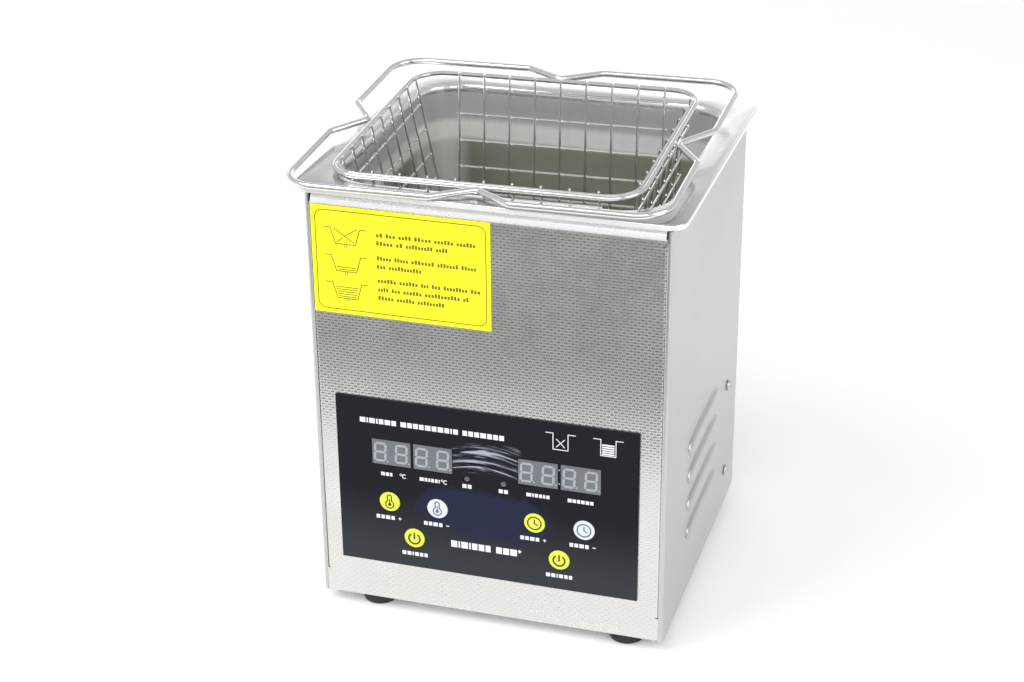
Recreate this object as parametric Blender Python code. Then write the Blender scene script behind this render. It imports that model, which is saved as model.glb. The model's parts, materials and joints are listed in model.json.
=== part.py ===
"""Bench-top ultrasonic cleaner with a two-litre tank and a hanging wire basket, in metres, +Z up.

The control panel faces -Y and the mains inlet faces +Y. Dimensions are counted from the middle of
the case; the finished assembly is then slid so that the origin is on the floor under the middle of
the whole, basket included. Every sub-part is one closed body, and neighbours keep a small gap.
"""

import math

import bmesh
import bpy
from mathutils import Euler, Matrix, Vector

# --- driving dimensions ---------------------------------------------------------------------------
GAP = 0.0003
CASE_WIDTH = 0.1767
CASE_DEPTH = 0.168
CASE_BOTTOM = 0.006
CASE_TOP = 0.2235
SHEET = 0.001
SMALL_BEND = 0.0015
CORNER_BEND = 0.002
SIDE_TOP_BEND = 0.003
FRONT_TOP_BEND = 0.0045
TAB = 0.004
RELIEF = 0.0005
ROUND_STEPS = 20
SMALL_STEPS = 12
CUT_DEPTH = 0.01
CENTRE_SHIFT = (0.0025, 0.0011)

FRONT = -CASE_DEPTH / 2
REAR = CASE_DEPTH / 2
SIDE = CASE_WIDTH / 2
CASE_HEIGHT = CASE_TOP - CASE_BOTTOM
CASE_MIDDLE = (CASE_TOP + CASE_BOTTOM) / 2

# The tank: a drawn bowl whose flange lies over the case.
FLANGE_TOP = 0.228
FLANGE_HALF = (0.0943, 0.0885)
FLANGE_CORNER = 0.009
LIP_HEIGHT = 0.0028
LIP_BEND = 0.0012
TANK_Y = 0.0003
TANK_SHEET = 0.0009
TANK_DEPTH = 0.1
OPENING_HALF = (0.0833, 0.0778)
OPENING_CORNER = 0.025
RIM_BEND = 0.0035
FLOOR_BEND = 0.012
WALL_TAPER = 0.001
TANK_FLOOR_UNDERSIDE = FLANGE_TOP - TANK_DEPTH - TANK_SHEET

# The front face: a dark control overlay, two display pairs, six round keys and two lamps.
OVERLAY_SIZE = (0.1525, 0.0916)
OVERLAY_CENTRE = (-0.0008, 0.0742)
OVERLAY_THICKNESS = 0.0005
OVERLAY_FACE = FRONT - GAP - OVERLAY_THICKNESS
LABEL_SIZE = (0.0883, 0.0547)
LABEL_CENTRE = (-0.041, 0.191)
LABEL_THICKNESS = 0.0004
HEAT_COLUMN = -0.0384
TIME_COLUMN = 0.0362
DISPLAY_HEIGHT_Z = 0.0912
DISPLAY_SIZE = (0.0198, 0.0136)
DISPLAY_PITCH = 0.0213
KEY_RADIUS = 0.0053
KEY_THICKNESS = 0.002
KEY_STEM_RADIUS = 0.002
KEY_PROUD = 0.0002
KEY_ROW_UPPER = 0.0637
KEY_ROW_LOWER = 0.0449
KEY_SPREAD = 0.01245
LAMP_RADIUS = 0.0015
LAMP_Z = 0.0827
LAMP_XS = {"heater_lamp": -0.0104, "ultrasonic_lamp": 0.0081}

BOARD_FRONT = -0.0783
BOARD_THICKNESS = 0.0016
BOARD_SIZE = (0.138, 0.078)
BOARD_CENTRE = (-0.001, 0.073)
SWITCH_SIDE = 0.006
SWITCH_FRONT = -0.0805

# The right and left sides.
LOUVRE_ZS = (0.0391, 0.0551, 0.0711, 0.0871)
LOUVRE_LENGTH = 0.068
LOUVRE_MIDDLE_Y = -0.001
LOUVRE_HALF_HEIGHT = 0.0052
LOUVRE_DEPTH = 0.0024
LOUVRE_END_SWELL = 0.3
LOUVRE_SLOT_SIZE = (0.0558, 0.0018)
LOUVRE_SLOT_DROP = 0.0032
LOUVRE_SLOT_IN = 0.0052
LOUVRE_SLOT_OUT = 0.0016
SIDE_SCREW_Y = 0.06
SIDE_SCREW_ZS = {"lower": 0.026, "upper": 0.0776}
SCREW_HOLE_RADIUS = 0.0018

# The rear.
REAR_FLANGE = 0.0305
INLET_X = 0.042
INLET_Z = 0.048
ROCKER_X = -0.042
ROCKER_Z = 0.048
ROCKER_TILT = math.radians(12)
INLET_CUTOUT = (0.0278, 0.0328)
INLET_FLANGE = (0.032, 0.003, 0.038)
INLET_BODY = (0.027, 0.019, 0.032)
RECESS_HALF = (0.0122, 0.0082)
RECESS_KEY = 0.005
RECESS_RISE = 0.0055
RECESS_DEPTH = 0.0145
PIN_SIZE = (0.002, 0.0105, 0.004)
PIN_SPOTS = ((-0.007, -0.001), (0.007, -0.001), (0.0, 0.003))
DRAWER_SLOT = (0.0244, 0.024, 0.0074)
DRAWER_SIZE = (0.0236, 0.0118, 0.0066)
DRAWER_DROP = 0.0115
ROCKER_CUTOUT = (0.0134, 0.0194)
HOUSING_BEZEL = (0.015, 0.002, 0.021)
HOUSING_BODY = (0.0126, 0.014, 0.0186)
HOUSING_CAVITY = (0.0104, 0.016, 0.0164)
ROCKER_HALF_WIDTH = 0.0048
VENT_ZS = (0.112, 0.120, 0.128, 0.136, 0.144)
VENT_SIZE = (0.06, 0.003)

# Feet and base.
BASE_RISE = 0.0085
BASE_VENTS = 5
BASE_VENT_PITCH = 0.009
BASE_VENT_SIZE = (0.07, 0.0035)
FOOT_STEM = 0.0025
FOOT_HOLE_RADIUS = 0.0028
FOOT_X = 0.065
FOOT_Y = 0.0728
FEET_SHIFT = 0.003  # the four feet stand a little to the right of the case centre
FOOT_RADIUS = 0.009
BASE_FRONT = FRONT + 0.0048
BASE_REAR = REAR - SHEET - 0.0004
BASE_HALF_WIDTH = SIDE - SHEET - GAP
FLOOR_TOP = CASE_BOTTOM + SHEET

# Under the tank floor and on the case floor.
TRANSDUCER_HOLE = 0.0046
TRANSDUCER_BOLT = 0.0042
FRONT_MASS_RADII = (0.0225, 0.0192)
FRONT_MASS_HEIGHT = 0.0188
PIEZO_RADIUS = 0.019
PIEZO_HEIGHT = 0.005
BACK_MASS_HEIGHT = 0.018
HEATING_PAD_SIZE = (0.096, 0.03, 0.0015)
HEATING_PAD_Y = 0.043
CUTOUT_SPOT = (-0.04, -0.04)
GENERATOR_SIZE = (0.11, 0.076, 0.0016)
GENERATOR_CENTRE = (0.0, 0.005)
GENERATOR_BOTTOM = 0.017
SPACER_SPREAD = (0.05, 0.033)
SPACER_RADIUS = 0.003
TRANSFORMER_SIZE = (0.032, 0.028, 0.022)
TRANSFORMER_SPOT = (-0.03, 0.014)
CAPACITOR_SPOT = (0.036, -0.014)
HEATSINK_SPOT = (0.018, 0.024)

# The basket, in its own frame: the origin is the middle of the rim, in the rim's plane.
BASKET_PLACE = (-0.0058, -0.0066, 0.2346)
BASKET_TURN = (math.radians(3.0), math.radians(-0.8), 0.0)
RIM_HALF = (0.0754, 0.0681)
RIM_CORNER = 0.0164
RIM_WIRE = 0.00125
FRAME_HALF = (0.092, 0.0831)
FRAME_CORNER = 0.0164
FRAME_WIRE = 0.0016
KINK_HALF_WIDTH = 0.0195
KINK_ROUND = 0.005
MESH_WIRE = 0.0013
WIDE_WALL_PITCH = 0.01365
NARROW_WALL_PITCH = 0.0131
MESH_DEPTH = 0.0725
MESH_PEEK = 0.002
MESH_LEAN = math.radians(9)
# First rung below the rim, pitch and count, on the wide walls and on the narrow ones.
WIDE_WALL_RUNGS = (0.006, 0.0141, 5)
NARROW_WALL_RUNGS = (0.0132, 0.0138, 4)
WIDE_WALL_WIRES = 9
NARROW_WALL_WIRES = 9
WIDE_WALL_SHIFT = 0.002
NARROW_WALL_SHIFT = 0.0006

FACE_FRONT = Euler((math.radians(90), 0, 0))
FACE_RIGHT = Euler((math.radians(90), 0, math.radians(90)))
FACE_LEFT = Euler((math.radians(90), 0, math.radians(-90)))
FACE_REAR = Euler((math.radians(90), 0, math.radians(180)))
FACE_DOWN = Euler((math.radians(180), 0, 0))
FACE_UP = Euler((0, 0, 0))
TURN_ONTO = {
    "X": Matrix.Rotation(math.pi / 2, 4, "Y"),
    "Y": Matrix.Rotation(math.pi / 2, 4, "X"),
    "Z": Matrix.Identity(4),
}
FOUR_CORNERS = ((-1, -1), (1, -1), (-1, 1), (1, 1))


# --- scene and materials --------------------------------------------------------------------------
def clear_scene():
    for obj in list(bpy.data.objects):
        bpy.data.objects.remove(obj, do_unlink=True)


def material(name, colour, roughness, metallic=0.0):
    made = bpy.data.materials.new(name)
    made.use_nodes = True
    shader = made.node_tree.nodes["Principled BSDF"]
    shader.inputs["Base Color"].default_value = (*colour, 1.0)
    shader.inputs["Roughness"].default_value = roughness
    shader.inputs["Metallic"].default_value = metallic
    made.diffuse_color = (*colour, 1.0)
    return made


def place(name, bm, finish, location=(0, 0, 0), rotation=FACE_UP, parent=None, smooth=False):
    """Makes an object of the bmesh, with its material, and returns it."""
    mesh = bpy.data.meshes.new(name)
    bm.to_mesh(mesh)
    bm.free()
    if smooth:
        mesh.shade_smooth()
        mesh.set_sharp_from_angle(angle=math.radians(35))
    obj = bpy.data.objects.new(name, mesh)
    obj.location = location
    obj.rotation_euler = rotation
    obj.parent = parent
    if finish:
        mesh.materials.append(finish)
    bpy.context.scene.collection.objects.link(obj)
    return obj


def helper(name, bm, location=(0, 0, 0), rotation=FACE_UP):
    """A shape that only cuts or joins another, so it is not part of the object."""
    obj = place(name, bm, None, location, rotation)
    obj.hide_render = True
    obj.display_type = "WIRE"
    return obj


def boolean(target, tool, operation):
    modifier = target.modifiers.new(operation.title(), "BOOLEAN")
    modifier.operation = operation
    modifier.solver = "EXACT"
    modifier.object = tool


def cut(target, tool):
    boolean(target, tool, "DIFFERENCE")


def join(target, tool):
    boolean(target, tool, "UNION")


def bevel(obj, width, segments=2):
    modifier = obj.modifiers.new("Bevel", "BEVEL")
    modifier.width = width
    modifier.segments = segments
    modifier.limit_method = "ANGLE"
    modifier.angle_limit = math.radians(40)


# --- shapes ---------------------------------------------------------------------------------------
def add_box(bm, centre, size):
    scale = Matrix.Diagonal((*size, 1.0))
    bmesh.ops.create_cube(bm, size=1.0, matrix=Matrix.Translation(centre) @ scale)


def add_cylinder(bm, centre, radius, depth, axis="Z", steps=ROUND_STEPS):
    bmesh.ops.create_cone(
        bm,
        cap_ends=True,
        segments=steps,
        radius1=radius,
        radius2=radius,
        depth=depth,
        matrix=Matrix.Translation(centre) @ TURN_ONTO[axis],
    )


def box(centre, size):
    bm = bmesh.new()
    add_box(bm, centre, size)
    return bm


def cylinder(centre, radius, depth, axis="Z", steps=ROUND_STEPS):
    bm = bmesh.new()
    add_cylinder(bm, centre, radius, depth, axis, steps)
    return bm


def loft(rings, closed=False):
    """Skins a chain of equal-length rings. An open chain gets a cap at each end."""
    bm = bmesh.new()
    rows = [[bm.verts.new(point) for point in ring] for ring in rings]
    pairs = list(zip(rows[:-1], rows[1:]))
    if closed:
        pairs.append((rows[-1], rows[0]))
    for low, high in pairs:
        for i in range(len(low)):
            j = (i + 1) % len(low)
            bm.faces.new((low[i], low[j], high[j], high[i]))
    if not closed:
        bm.faces.new(list(reversed(rows[0])))
        bm.faces.new(rows[-1])
    bmesh.ops.recalc_face_normals(bm, faces=bm.faces)
    return bm


def circle(radius, z, steps):
    angles = [2 * math.pi * i / steps for i in range(steps)]
    return [(radius * math.cos(a), radius * math.sin(a), z) for a in angles]


def turned(profile, steps=ROUND_STEPS, closed=False):
    """Turns (radius, z) points about Z; closed joins the last point to the first, for a ring."""
    return loft([circle(radius, z, steps) for radius, z in profile], closed)


def rounded_rectangle(half_x, half_y, corner, steps=6):
    """Anticlockwise (x, y) points of a rectangle with round corners."""
    points = []
    for quarter, (sx, sy) in enumerate(((1, 1), (-1, 1), (-1, -1), (1, -1))):
        for i in range(steps + 1):
            angle = math.pi / 2 * (quarter + i / steps)
            x = sx * (half_x - corner) + corner * math.cos(angle)
            y = sy * (half_y - corner) + corner * math.sin(angle)
            points.append((x, y))
    return points


def ring_at(half_x, half_y, corner, z):
    return [(x, y, z) for x, y in rounded_rectangle(half_x, half_y, corner)]


def bend_ring(half, corner, shrink, z):
    return ring_at(half[0] - shrink, half[1] - shrink, corner - shrink, z)


def wire_loop(path, radius, steps=8):
    """A round wire bent along a closed flat path in the XY plane."""
    count = len(path)
    rings = []
    for i, point in enumerate(path):
        before = Vector(path[i - 1])
        after = Vector(path[(i + 1) % count])
        along = (after - before).normalized()
        side = Vector((along.y, -along.x, 0))
        half_turn = (Vector(point) - before).angle(after - Vector(point)) / 2
        ring = []
        for k in range(steps):
            angle = 2 * math.pi * (k + 0.5) / steps
            across = side * (radius * math.cos(angle) / math.cos(half_turn))
            ring.append(Vector(point) + across + Vector((0, 0, radius * math.sin(angle))))
        rings.append(ring)
    return loft(rings, closed=True)


def sheet_panel(width, height, flanges):
    """The outer skin of a folded sheet in the XY plane, facing +Z, with its flanges folded to -Z.

    flanges maps left, right, bottom or top to (bend radius, flat length, start margin, end margin),
    where the margins run along the edge in the direction of increasing x or y. A margin longer than
    TAB stays flat and reaches the full edge, past a narrow relief slit.
    """
    bm = bmesh.new()
    half = Vector((width / 2, height / 2, 0))
    sides = ("bottom", "right", "top", "left")
    outwards = (Vector((0, -1, 0)), Vector((1, 0, 0)), Vector((0, 1, 0)), Vector((-1, 0, 0)))
    folds = []
    for side in sides:
        radius, flat, first, last = flanges.get(side, (0.0, 0.0, 0.0, 0.0))
        if side in ("top", "left"):
            first, last = last, first
        folds.append((radius, flat, first, last))
    outline = []
    strips = []
    for i, side in enumerate(sides):
        outward = outwards[i]
        along = outwards[(i + 1) % 4]
        radius, flat, first, last = folds[i]
        reach = abs(outward.dot(half))
        run = abs(along.dot(half))
        before = folds[i - 1]
        start_setback = 0.0 if before[3] > TAB else before[0]
        own_setback = 0.0 if first > TAB else radius
        corner = outward * (reach - own_setback) - along * (run - start_setback)
        outline.append(bm.verts.new(corner))
        if side not in flanges:
            continue
        root = outward * (reach - radius)
        edge = outward * reach
        if first > TAB:
            slit = along * (-run + first - RELIEF)
            outline += [bm.verts.new(edge + slit), bm.verts.new(root + slit)]
        pair_start = bm.verts.new(root + along * (-run + first))
        pair_end = bm.verts.new(root + along * (run - last))
        pair = [pair_start, pair_end]
        outline += pair
        if last > TAB:
            slit = along * (run - last + RELIEF)
            outline += [bm.verts.new(root + slit), bm.verts.new(edge + slit)]
        strips.append((pair, outward, radius, flat))
    bm.faces.new(outline)
    for pair, outward, radius, flat in strips:
        fold_flange(bm, pair, outward, radius, flat)
    return bm


def fold_flange(bm, pair, outward, radius, flat, steps=4):
    """Adds the bend and the flat of one flange, from the pair of vertices at its root."""
    roots = [vert.co.copy() for vert in pair]
    offsets = []
    for i in range(1, steps + 1):
        angle = math.pi / 2 * i / steps
        drop = Vector((0, 0, radius * (math.cos(angle) - 1)))
        offsets.append(outward * (radius * math.sin(angle)) + drop)
    if flat:
        offsets.append(outward * radius + Vector((0, 0, -radius - flat)))
    previous = pair
    for offset in offsets:
        row = [bm.verts.new(root + offset) for root in roots]
        bm.faces.new((previous[1], previous[0], row[0], row[1]))
        previous = row


def thicken(obj, thickness, offset=-1.0):
    modifier = obj.modifiers.new("Solidify", "SOLIDIFY")
    modifier.thickness = thickness
    modifier.offset = offset
    modifier.use_even_offset = True


def evenly(count, pitch):
    return [(i - (count - 1) / 2) * pitch for i in range(count)]


def lattice(uprights, rungs, bottom, top, wire, ends=None):
    """A flat wire grid in the XY plane: uprights at these x, bottom to top, and rungs at these y.

    The rungs run between the outer uprights, or between the two ends where these are given.
    """
    half = wire / 2
    left, right = ends or (min(uprights) - half, max(uprights) + half)
    columns = sorted({left, right} | {edge for x in uprights for edge in (x - half, x + half)})
    rows = sorted({bottom, top} | {edge for y in rungs for edge in (y - half, y + half)})
    bm = bmesh.new()
    corners = {}

    def corner(x, y):
        if (x, y) not in corners:
            corners[(x, y)] = bm.verts.new((x, y, 0))
        return corners[(x, y)]

    for x0, x1 in zip(columns[:-1], columns[1:]):
        for y0, y1 in zip(rows[:-1], rows[1:]):
            middle_x, middle_y = (x0 + x1) / 2, (y0 + y1) / 2
            on_upright = any(abs(middle_x - x) < half for x in uprights)
            on_rung = left < middle_x < right and any(abs(middle_y - y) < half for y in rungs)
            if on_upright or on_rung:
                bm.faces.new((corner(x0, y0), corner(x1, y0), corner(x1, y1), corner(x0, y1)))
    return bm


# --- the case -------------------------------------------------------------------------------------
def display_centres():
    half = DISPLAY_PITCH / 2
    return {
        "set_temperature_display": HEAT_COLUMN - half,
        "actual_temperature_display": HEAT_COLUMN + half,
        "minute_display": TIME_COLUMN - half,
        "second_display": TIME_COLUMN + half,
    }


def key_centres():
    return {
        "temperature_up_key": (HEAT_COLUMN - KEY_SPREAD, KEY_ROW_UPPER),
        "temperature_down_key": (HEAT_COLUMN + KEY_SPREAD, KEY_ROW_UPPER),
        "heater_power_key": (HEAT_COLUMN, KEY_ROW_LOWER),
        "time_up_key": (TIME_COLUMN - KEY_SPREAD, KEY_ROW_UPPER),
        "time_down_key": (TIME_COLUMN + KEY_SPREAD, KEY_ROW_UPPER),
        "ultrasonic_power_key": (TIME_COLUMN, KEY_ROW_LOWER),
    }


def front_panel(finish):
    """The embossed front sheet, whose top rolls back under the flange."""
    flanges = {
        "top": (FRONT_TOP_BEND, 0.0034, 0.0007, 0.0007),
        "bottom": (SMALL_BEND, 0.0025, 0.0012, 0.0012),
        "left": (SMALL_BEND, 0.007, 0.014, 0.008),
        "right": (SMALL_BEND, 0.007, 0.014, 0.008),
    }
    skin = sheet_panel(2 * (SIDE - CORNER_BEND - GAP), CASE_HEIGHT, flanges)
    panel = place("front_panel", skin, finish, (0, FRONT, CASE_MIDDLE), FACE_FRONT)
    thicken(panel, SHEET)
    holes = bmesh.new()
    for x in (HEAT_COLUMN, TIME_COLUMN):
        size = (DISPLAY_PITCH + DISPLAY_SIZE[0] + 2 * GAP, CUT_DEPTH, DISPLAY_SIZE[1] + 2 * GAP)
        add_box(holes, (x, FRONT, DISPLAY_HEIGHT_Z), size)
    for x, z in key_centres().values():
        add_cylinder(holes, (x, FRONT, z), KEY_RADIUS + 2 * GAP, CUT_DEPTH, "Y", ROUND_STEPS)
    for x in LAMP_XS.values():
        add_cylinder(holes, (x, FRONT, LAMP_Z), LAMP_RADIUS + GAP, CUT_DEPTH, "Y", SMALL_STEPS)
    cut(panel, helper("front_panel_holes", holes))


def louvre_hood(side):
    """One outward pressing: a half-round ridge, rooted in the sheet, that dies away at both ends."""
    stations = (-1, -0.96, -0.88, -0.7, -0.35, 0, 0.35, 0.7, 0.88, 0.96, 1)
    arc = 7
    root = SIDE - SHEET / 2
    rings = []
    for t in stations:
        swell = LOUVRE_END_SWELL + (1 - LOUVRE_END_SWELL) * math.sqrt(1 - abs(t) ** 6)
        y = LOUVRE_MIDDLE_Y + t * LOUVRE_LENGTH / 2
        ring = []
        for k in range(arc + 1):
            angle = math.pi * (k / arc - 0.5)
            x = root + (SHEET / 2 + LOUVRE_DEPTH * swell) * math.cos(angle)
            ring.append((side * x, y, LOUVRE_HALF_HEIGHT * swell * math.sin(angle)))
        rings.append(ring)
    return loft(rings)


def side_panel(name, side, finish):
    """A plain side sheet: its front edge rolls round the corner and its top folds under the flange."""
    front_edge = "left" if side > 0 else "right"
    relief = 0.0006
    flanges = {
        front_edge: (CORNER_BEND, 0.0, relief, relief),
        "top": (SIDE_TOP_BEND, 0.0032, 0.0085, 0.0085),
    }
    rotation = FACE_RIGHT if side > 0 else FACE_LEFT
    skin = sheet_panel(CASE_DEPTH, CASE_HEIGHT, flanges)
    panel = place(name, skin, finish, (side * SIDE, 0, CASE_MIDDLE), rotation)
    thicken(panel, SHEET)
    for number, z in enumerate(LOUVRE_ZS, 1):
        join(panel, helper(f"{name}_hood_{number}", louvre_hood(side), (0, 0, z)))
    holes = bmesh.new()
    slot_x = side * (SIDE + (LOUVRE_SLOT_OUT - LOUVRE_SLOT_IN) / 2)
    for z in LOUVRE_ZS:
        size = (LOUVRE_SLOT_IN + LOUVRE_SLOT_OUT, *LOUVRE_SLOT_SIZE)
        add_box(holes, (slot_x, LOUVRE_MIDDLE_Y, z - LOUVRE_SLOT_DROP), size)
    add_screw_holes(holes, side)
    cut(panel, helper(f"{name}_holes", holes))


def add_screw_holes(bm, side):
    for z in SIDE_SCREW_ZS.values():
        spot = (side * SIDE, SIDE_SCREW_Y, z)
        add_cylinder(bm, spot, SCREW_HOLE_RADIUS, CUT_DEPTH, "X", SMALL_STEPS)


def rear_panel(finish):
    """The removable back: its long side flanges lie inside the side sheets and take the side screws."""
    flanges = {
        "top": (SIDE_TOP_BEND, 0.004, 0.004, 0.004),
        "left": (SMALL_BEND, REAR_FLANGE, 0.014, 0.012),
        "right": (SMALL_BEND, REAR_FLANGE, 0.014, 0.012),
    }
    skin = sheet_panel(2 * BASE_HALF_WIDTH, CASE_HEIGHT, flanges)
    panel = place("rear_panel", skin, finish, (0, REAR, CASE_MIDDLE), FACE_REAR)
    thicken(panel, SHEET)
    openings = [(INLET_X, INLET_Z, *INLET_CUTOUT), (ROCKER_X, ROCKER_Z, *ROCKER_CUTOUT)]
    openings += [(0, z, *VENT_SIZE) for z in VENT_ZS]
    holes = bmesh.new()
    for x, z, width, height in openings:
        add_box(holes, (x, REAR, z), (width, CUT_DEPTH, height))
    for side in (-1, 1):
        add_screw_holes(holes, side)
    cut(panel, helper("rear_panel_holes", holes))


def base_plate(finish):
    """The floor pan, with its edges folded up inside the four walls."""
    margin = 0.003
    fold = (SMALL_BEND, BASE_RISE, margin, margin)
    flanges = {side: fold for side in ("left", "right", "bottom", "top")}
    skin = sheet_panel(2 * BASE_HALF_WIDTH, BASE_REAR - BASE_FRONT, flanges)
    centre = (0, (BASE_FRONT + BASE_REAR) / 2, CASE_BOTTOM)
    plate = place("base_plate", skin, finish, centre, FACE_DOWN)
    thicken(plate, SHEET)
    holes = bmesh.new()
    for sx, sy in FOUR_CORNERS:
        spot = (sx * FOOT_X + FEET_SHIFT, sy * FOOT_Y, CASE_BOTTOM)
        add_cylinder(holes, spot, FOOT_HOLE_RADIUS, CUT_DEPTH, "Z", SMALL_STEPS)
    for y in evenly(BASE_VENTS, BASE_VENT_PITCH):
        add_box(holes, (0, y, CASE_BOTTOM), (*BASE_VENT_SIZE, CUT_DEPTH))
    cut(plate, helper("base_plate_holes", holes))


def feet(finish):
    """Round feet with a hollow tread and a stem that snaps into the floor pan."""
    profile = (
        (0.0036, 0.002),
        (0.0036, 0.0),
        (0.0078, 0.0),
        (FOOT_RADIUS, 0.0014),
        (0.0086, CASE_BOTTOM - GAP),
        (FOOT_STEM, CASE_BOTTOM - GAP),
        (FOOT_STEM, 0.0088),
    )
    words = ("front_left", "front_right", "rear_left", "rear_right")
    for word, (sx, sy) in zip(words, FOUR_CORNERS):
        spot = (sx * FOOT_X + FEET_SHIFT, sy * FOOT_Y, 0)
        place(f"{word}_foot", turned(profile, 16), finish, spot, smooth=True)


def side_screws(finish):
    """Pan-head screws through each side sheet into the rear panel's flange, heads outward."""
    profile = (
        (0.0014, -0.0055),
        (0.0015, 0.0),
        (0.0029, 0.0),
        (0.0029, 0.0008),
        (0.0021, 0.0016),
        (0.0008, 0.0019),
    )
    for side, word in ((-1, "left"), (1, "right")):
        turn = Euler((0, side * math.pi / 2, 0))
        for height, z in SIDE_SCREW_ZS.items():
            spot = (side * (SIDE + GAP), SIDE_SCREW_Y, z)
            screw = turned(profile, SMALL_STEPS)
            place(f"{word}_{height}_screw", screw, finish, spot, turn, smooth=True)


# --- the tank -------------------------------------------------------------------------------------
def tank(finish):
    """One drawn sheet: a turned-down lip, a flat flange, a round-cornered wall and a flat floor."""
    top = FLANGE_TOP
    lip_bottom = top - LIP_HEIGHT
    wall_half = (OPENING_HALF[0] - RIM_BEND, OPENING_HALF[1] - RIM_BEND)
    wall_corner = OPENING_CORNER - RIM_BEND
    low_half = (wall_half[0] - WALL_TAPER, wall_half[1] - WALL_TAPER)
    low_corner = wall_corner - WALL_TAPER
    low_z = top - TANK_DEPTH + FLOOR_BEND

    def side_of_sheet(depth):
        """Rings from the lip to the floor, on the skin that lies this far under the upper one."""
        rings = [bend_ring(FLANGE_HALF, FLANGE_CORNER, depth, lip_bottom)]
        for i in range(3):
            angle = math.pi / 2 * i / 2
            inset = LIP_BEND - (LIP_BEND - depth) * math.cos(angle)
            z = top - LIP_BEND + (LIP_BEND - depth) * math.sin(angle)
            rings.append(bend_ring(FLANGE_HALF, FLANGE_CORNER, inset, z))
        for i in range(4):
            angle = math.pi / 2 * i / 3
            inset = (RIM_BEND - depth) * math.sin(angle)
            z = top - RIM_BEND + (RIM_BEND - depth) * math.cos(angle)
            rings.append(bend_ring(OPENING_HALF, OPENING_CORNER, inset, z))
        for i in range(5):
            angle = math.pi / 2 * i / 4
            inset = FLOOR_BEND - (FLOOR_BEND + depth) * math.cos(angle)
            z = low_z - (FLOOR_BEND + depth) * math.sin(angle)
            rings.append(bend_ring(low_half, low_corner, inset, z))
        return rings

    upper = side_of_sheet(0.0)
    lower = side_of_sheet(TANK_SHEET)
    place("tank", loft(list(reversed(upper)) + lower), finish, (0, TANK_Y, 0), smooth=True)


def tank_seal(finish):
    """The soft gasket that the flange is seated on."""
    low, high = CASE_TOP + GAP, FLANGE_TOP - TANK_SHEET - GAP
    outer_inset, inner_inset = 0.0065, 0.0005
    rings = [
        bend_ring(FLANGE_HALF, FLANGE_CORNER + outer_inset, outer_inset, low),
        bend_ring(FLANGE_HALF, FLANGE_CORNER + outer_inset, outer_inset, high),
        bend_ring(OPENING_HALF, OPENING_CORNER, inner_inset, high),
        bend_ring(OPENING_HALF, OPENING_CORNER, inner_inset, low),
    ]
    place("tank_seal", loft(rings, closed=True), finish, (0, TANK_Y, 0))


def transducer(aluminium, ceramic, steel):
    """A bolted sandwich under the tank floor: front mass, two piezo rings, back mass and bolt."""
    spot = (0, TANK_Y, 0)
    hole = TRANSDUCER_HOLE
    wide, narrow = FRONT_MASS_RADII
    top = TANK_FLOOR_UNDERSIDE - GAP
    front_bottom = top - FRONT_MASS_HEIGHT
    front_mass = (
        (wide, top),
        (wide, top - 0.003),
        (narrow, front_bottom),
        (hole, front_bottom),
        (hole, front_bottom + 0.006),
    )
    place("transducer_front_mass", turned(front_mass), aluminium, spot, smooth=True)
    z = front_bottom - GAP
    for name in ("upper_piezo_ring", "lower_piezo_ring"):
        bottom = z - PIEZO_HEIGHT
        profile = ((hole, z), (hole, bottom), (PIEZO_RADIUS, bottom), (PIEZO_RADIUS, z))
        place(name, turned(profile, closed=True), ceramic, spot, smooth=True)
        z = bottom - GAP
    back_bottom = z - BACK_MASS_HEIGHT
    back_mass = ((hole, z), (hole, back_bottom), (narrow, back_bottom), (narrow, z))
    place("transducer_back_mass", turned(back_mass, closed=True), steel, spot, smooth=True)
    bolt = (
        (TRANSDUCER_BOLT, front_bottom + 0.005),
        (TRANSDUCER_BOLT, back_bottom - GAP),
        (0.0072, back_bottom - GAP),
        (0.0072, back_bottom - 0.0055),
    )
    place("transducer_bolt", turned(bolt, SMALL_STEPS), steel, spot, smooth=True)


def heater(rubber, steel):
    """A silicone heating pad and a button-shaped thermal cutout, both bonded under the tank floor."""
    top = TANK_FLOOR_UNDERSIDE - GAP
    centre = (0, TANK_Y + HEATING_PAD_Y, top - HEATING_PAD_SIZE[2] / 2)
    pad = place("heating_pad", box(centre, HEATING_PAD_SIZE), rubber)
    bevel(pad, 0.0004, 1)
    button = turned(((0.0065, top - 0.005), (0.0065, top - 0.001), (0.0052, top)), SMALL_STEPS)
    spot = (CUTOUT_SPOT[0], TANK_Y + CUTOUT_SPOT[1], 0)
    place("thermal_cutout", button, steel, spot, smooth=True)


# --- the control panel ----------------------------------------------------------------------------
def control_overlay(finish):
    """The printed sheet over the controls, with windows for the displays, keys and lamps."""
    width, height = OVERLAY_SIZE
    y = OVERLAY_FACE + OVERLAY_THICKNESS / 2
    sheet = box((OVERLAY_CENTRE[0], y, OVERLAY_CENTRE[1]), (width, OVERLAY_THICKNESS, height))
    overlay = place("control_overlay", sheet, finish)
    holes = bmesh.new()
    window = (DISPLAY_SIZE[0] + 2 * GAP, CUT_DEPTH, DISPLAY_SIZE[1] + 2 * GAP)
    for x in display_centres().values():
        add_box(holes, (x, y, DISPLAY_HEIGHT_Z), window)
    for x, z in key_centres().values():
        add_cylinder(holes, (x, y, z), KEY_RADIUS + GAP, CUT_DEPTH, "Y", ROUND_STEPS)
    for x in LAMP_XS.values():
        add_cylinder(holes, (x, y, LAMP_Z), LAMP_RADIUS + GAP, CUT_DEPTH, "Y", SMALL_STEPS)
    cut(overlay, helper("overlay_holes", holes))


def label_plate(finish):
    width, height = LABEL_SIZE
    centre = (LABEL_CENTRE[0], FRONT - GAP - LABEL_THICKNESS / 2, LABEL_CENTRE[1])
    place("label_plate", box(centre, (width, LABEL_THICKNESS, height)), finish)


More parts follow.
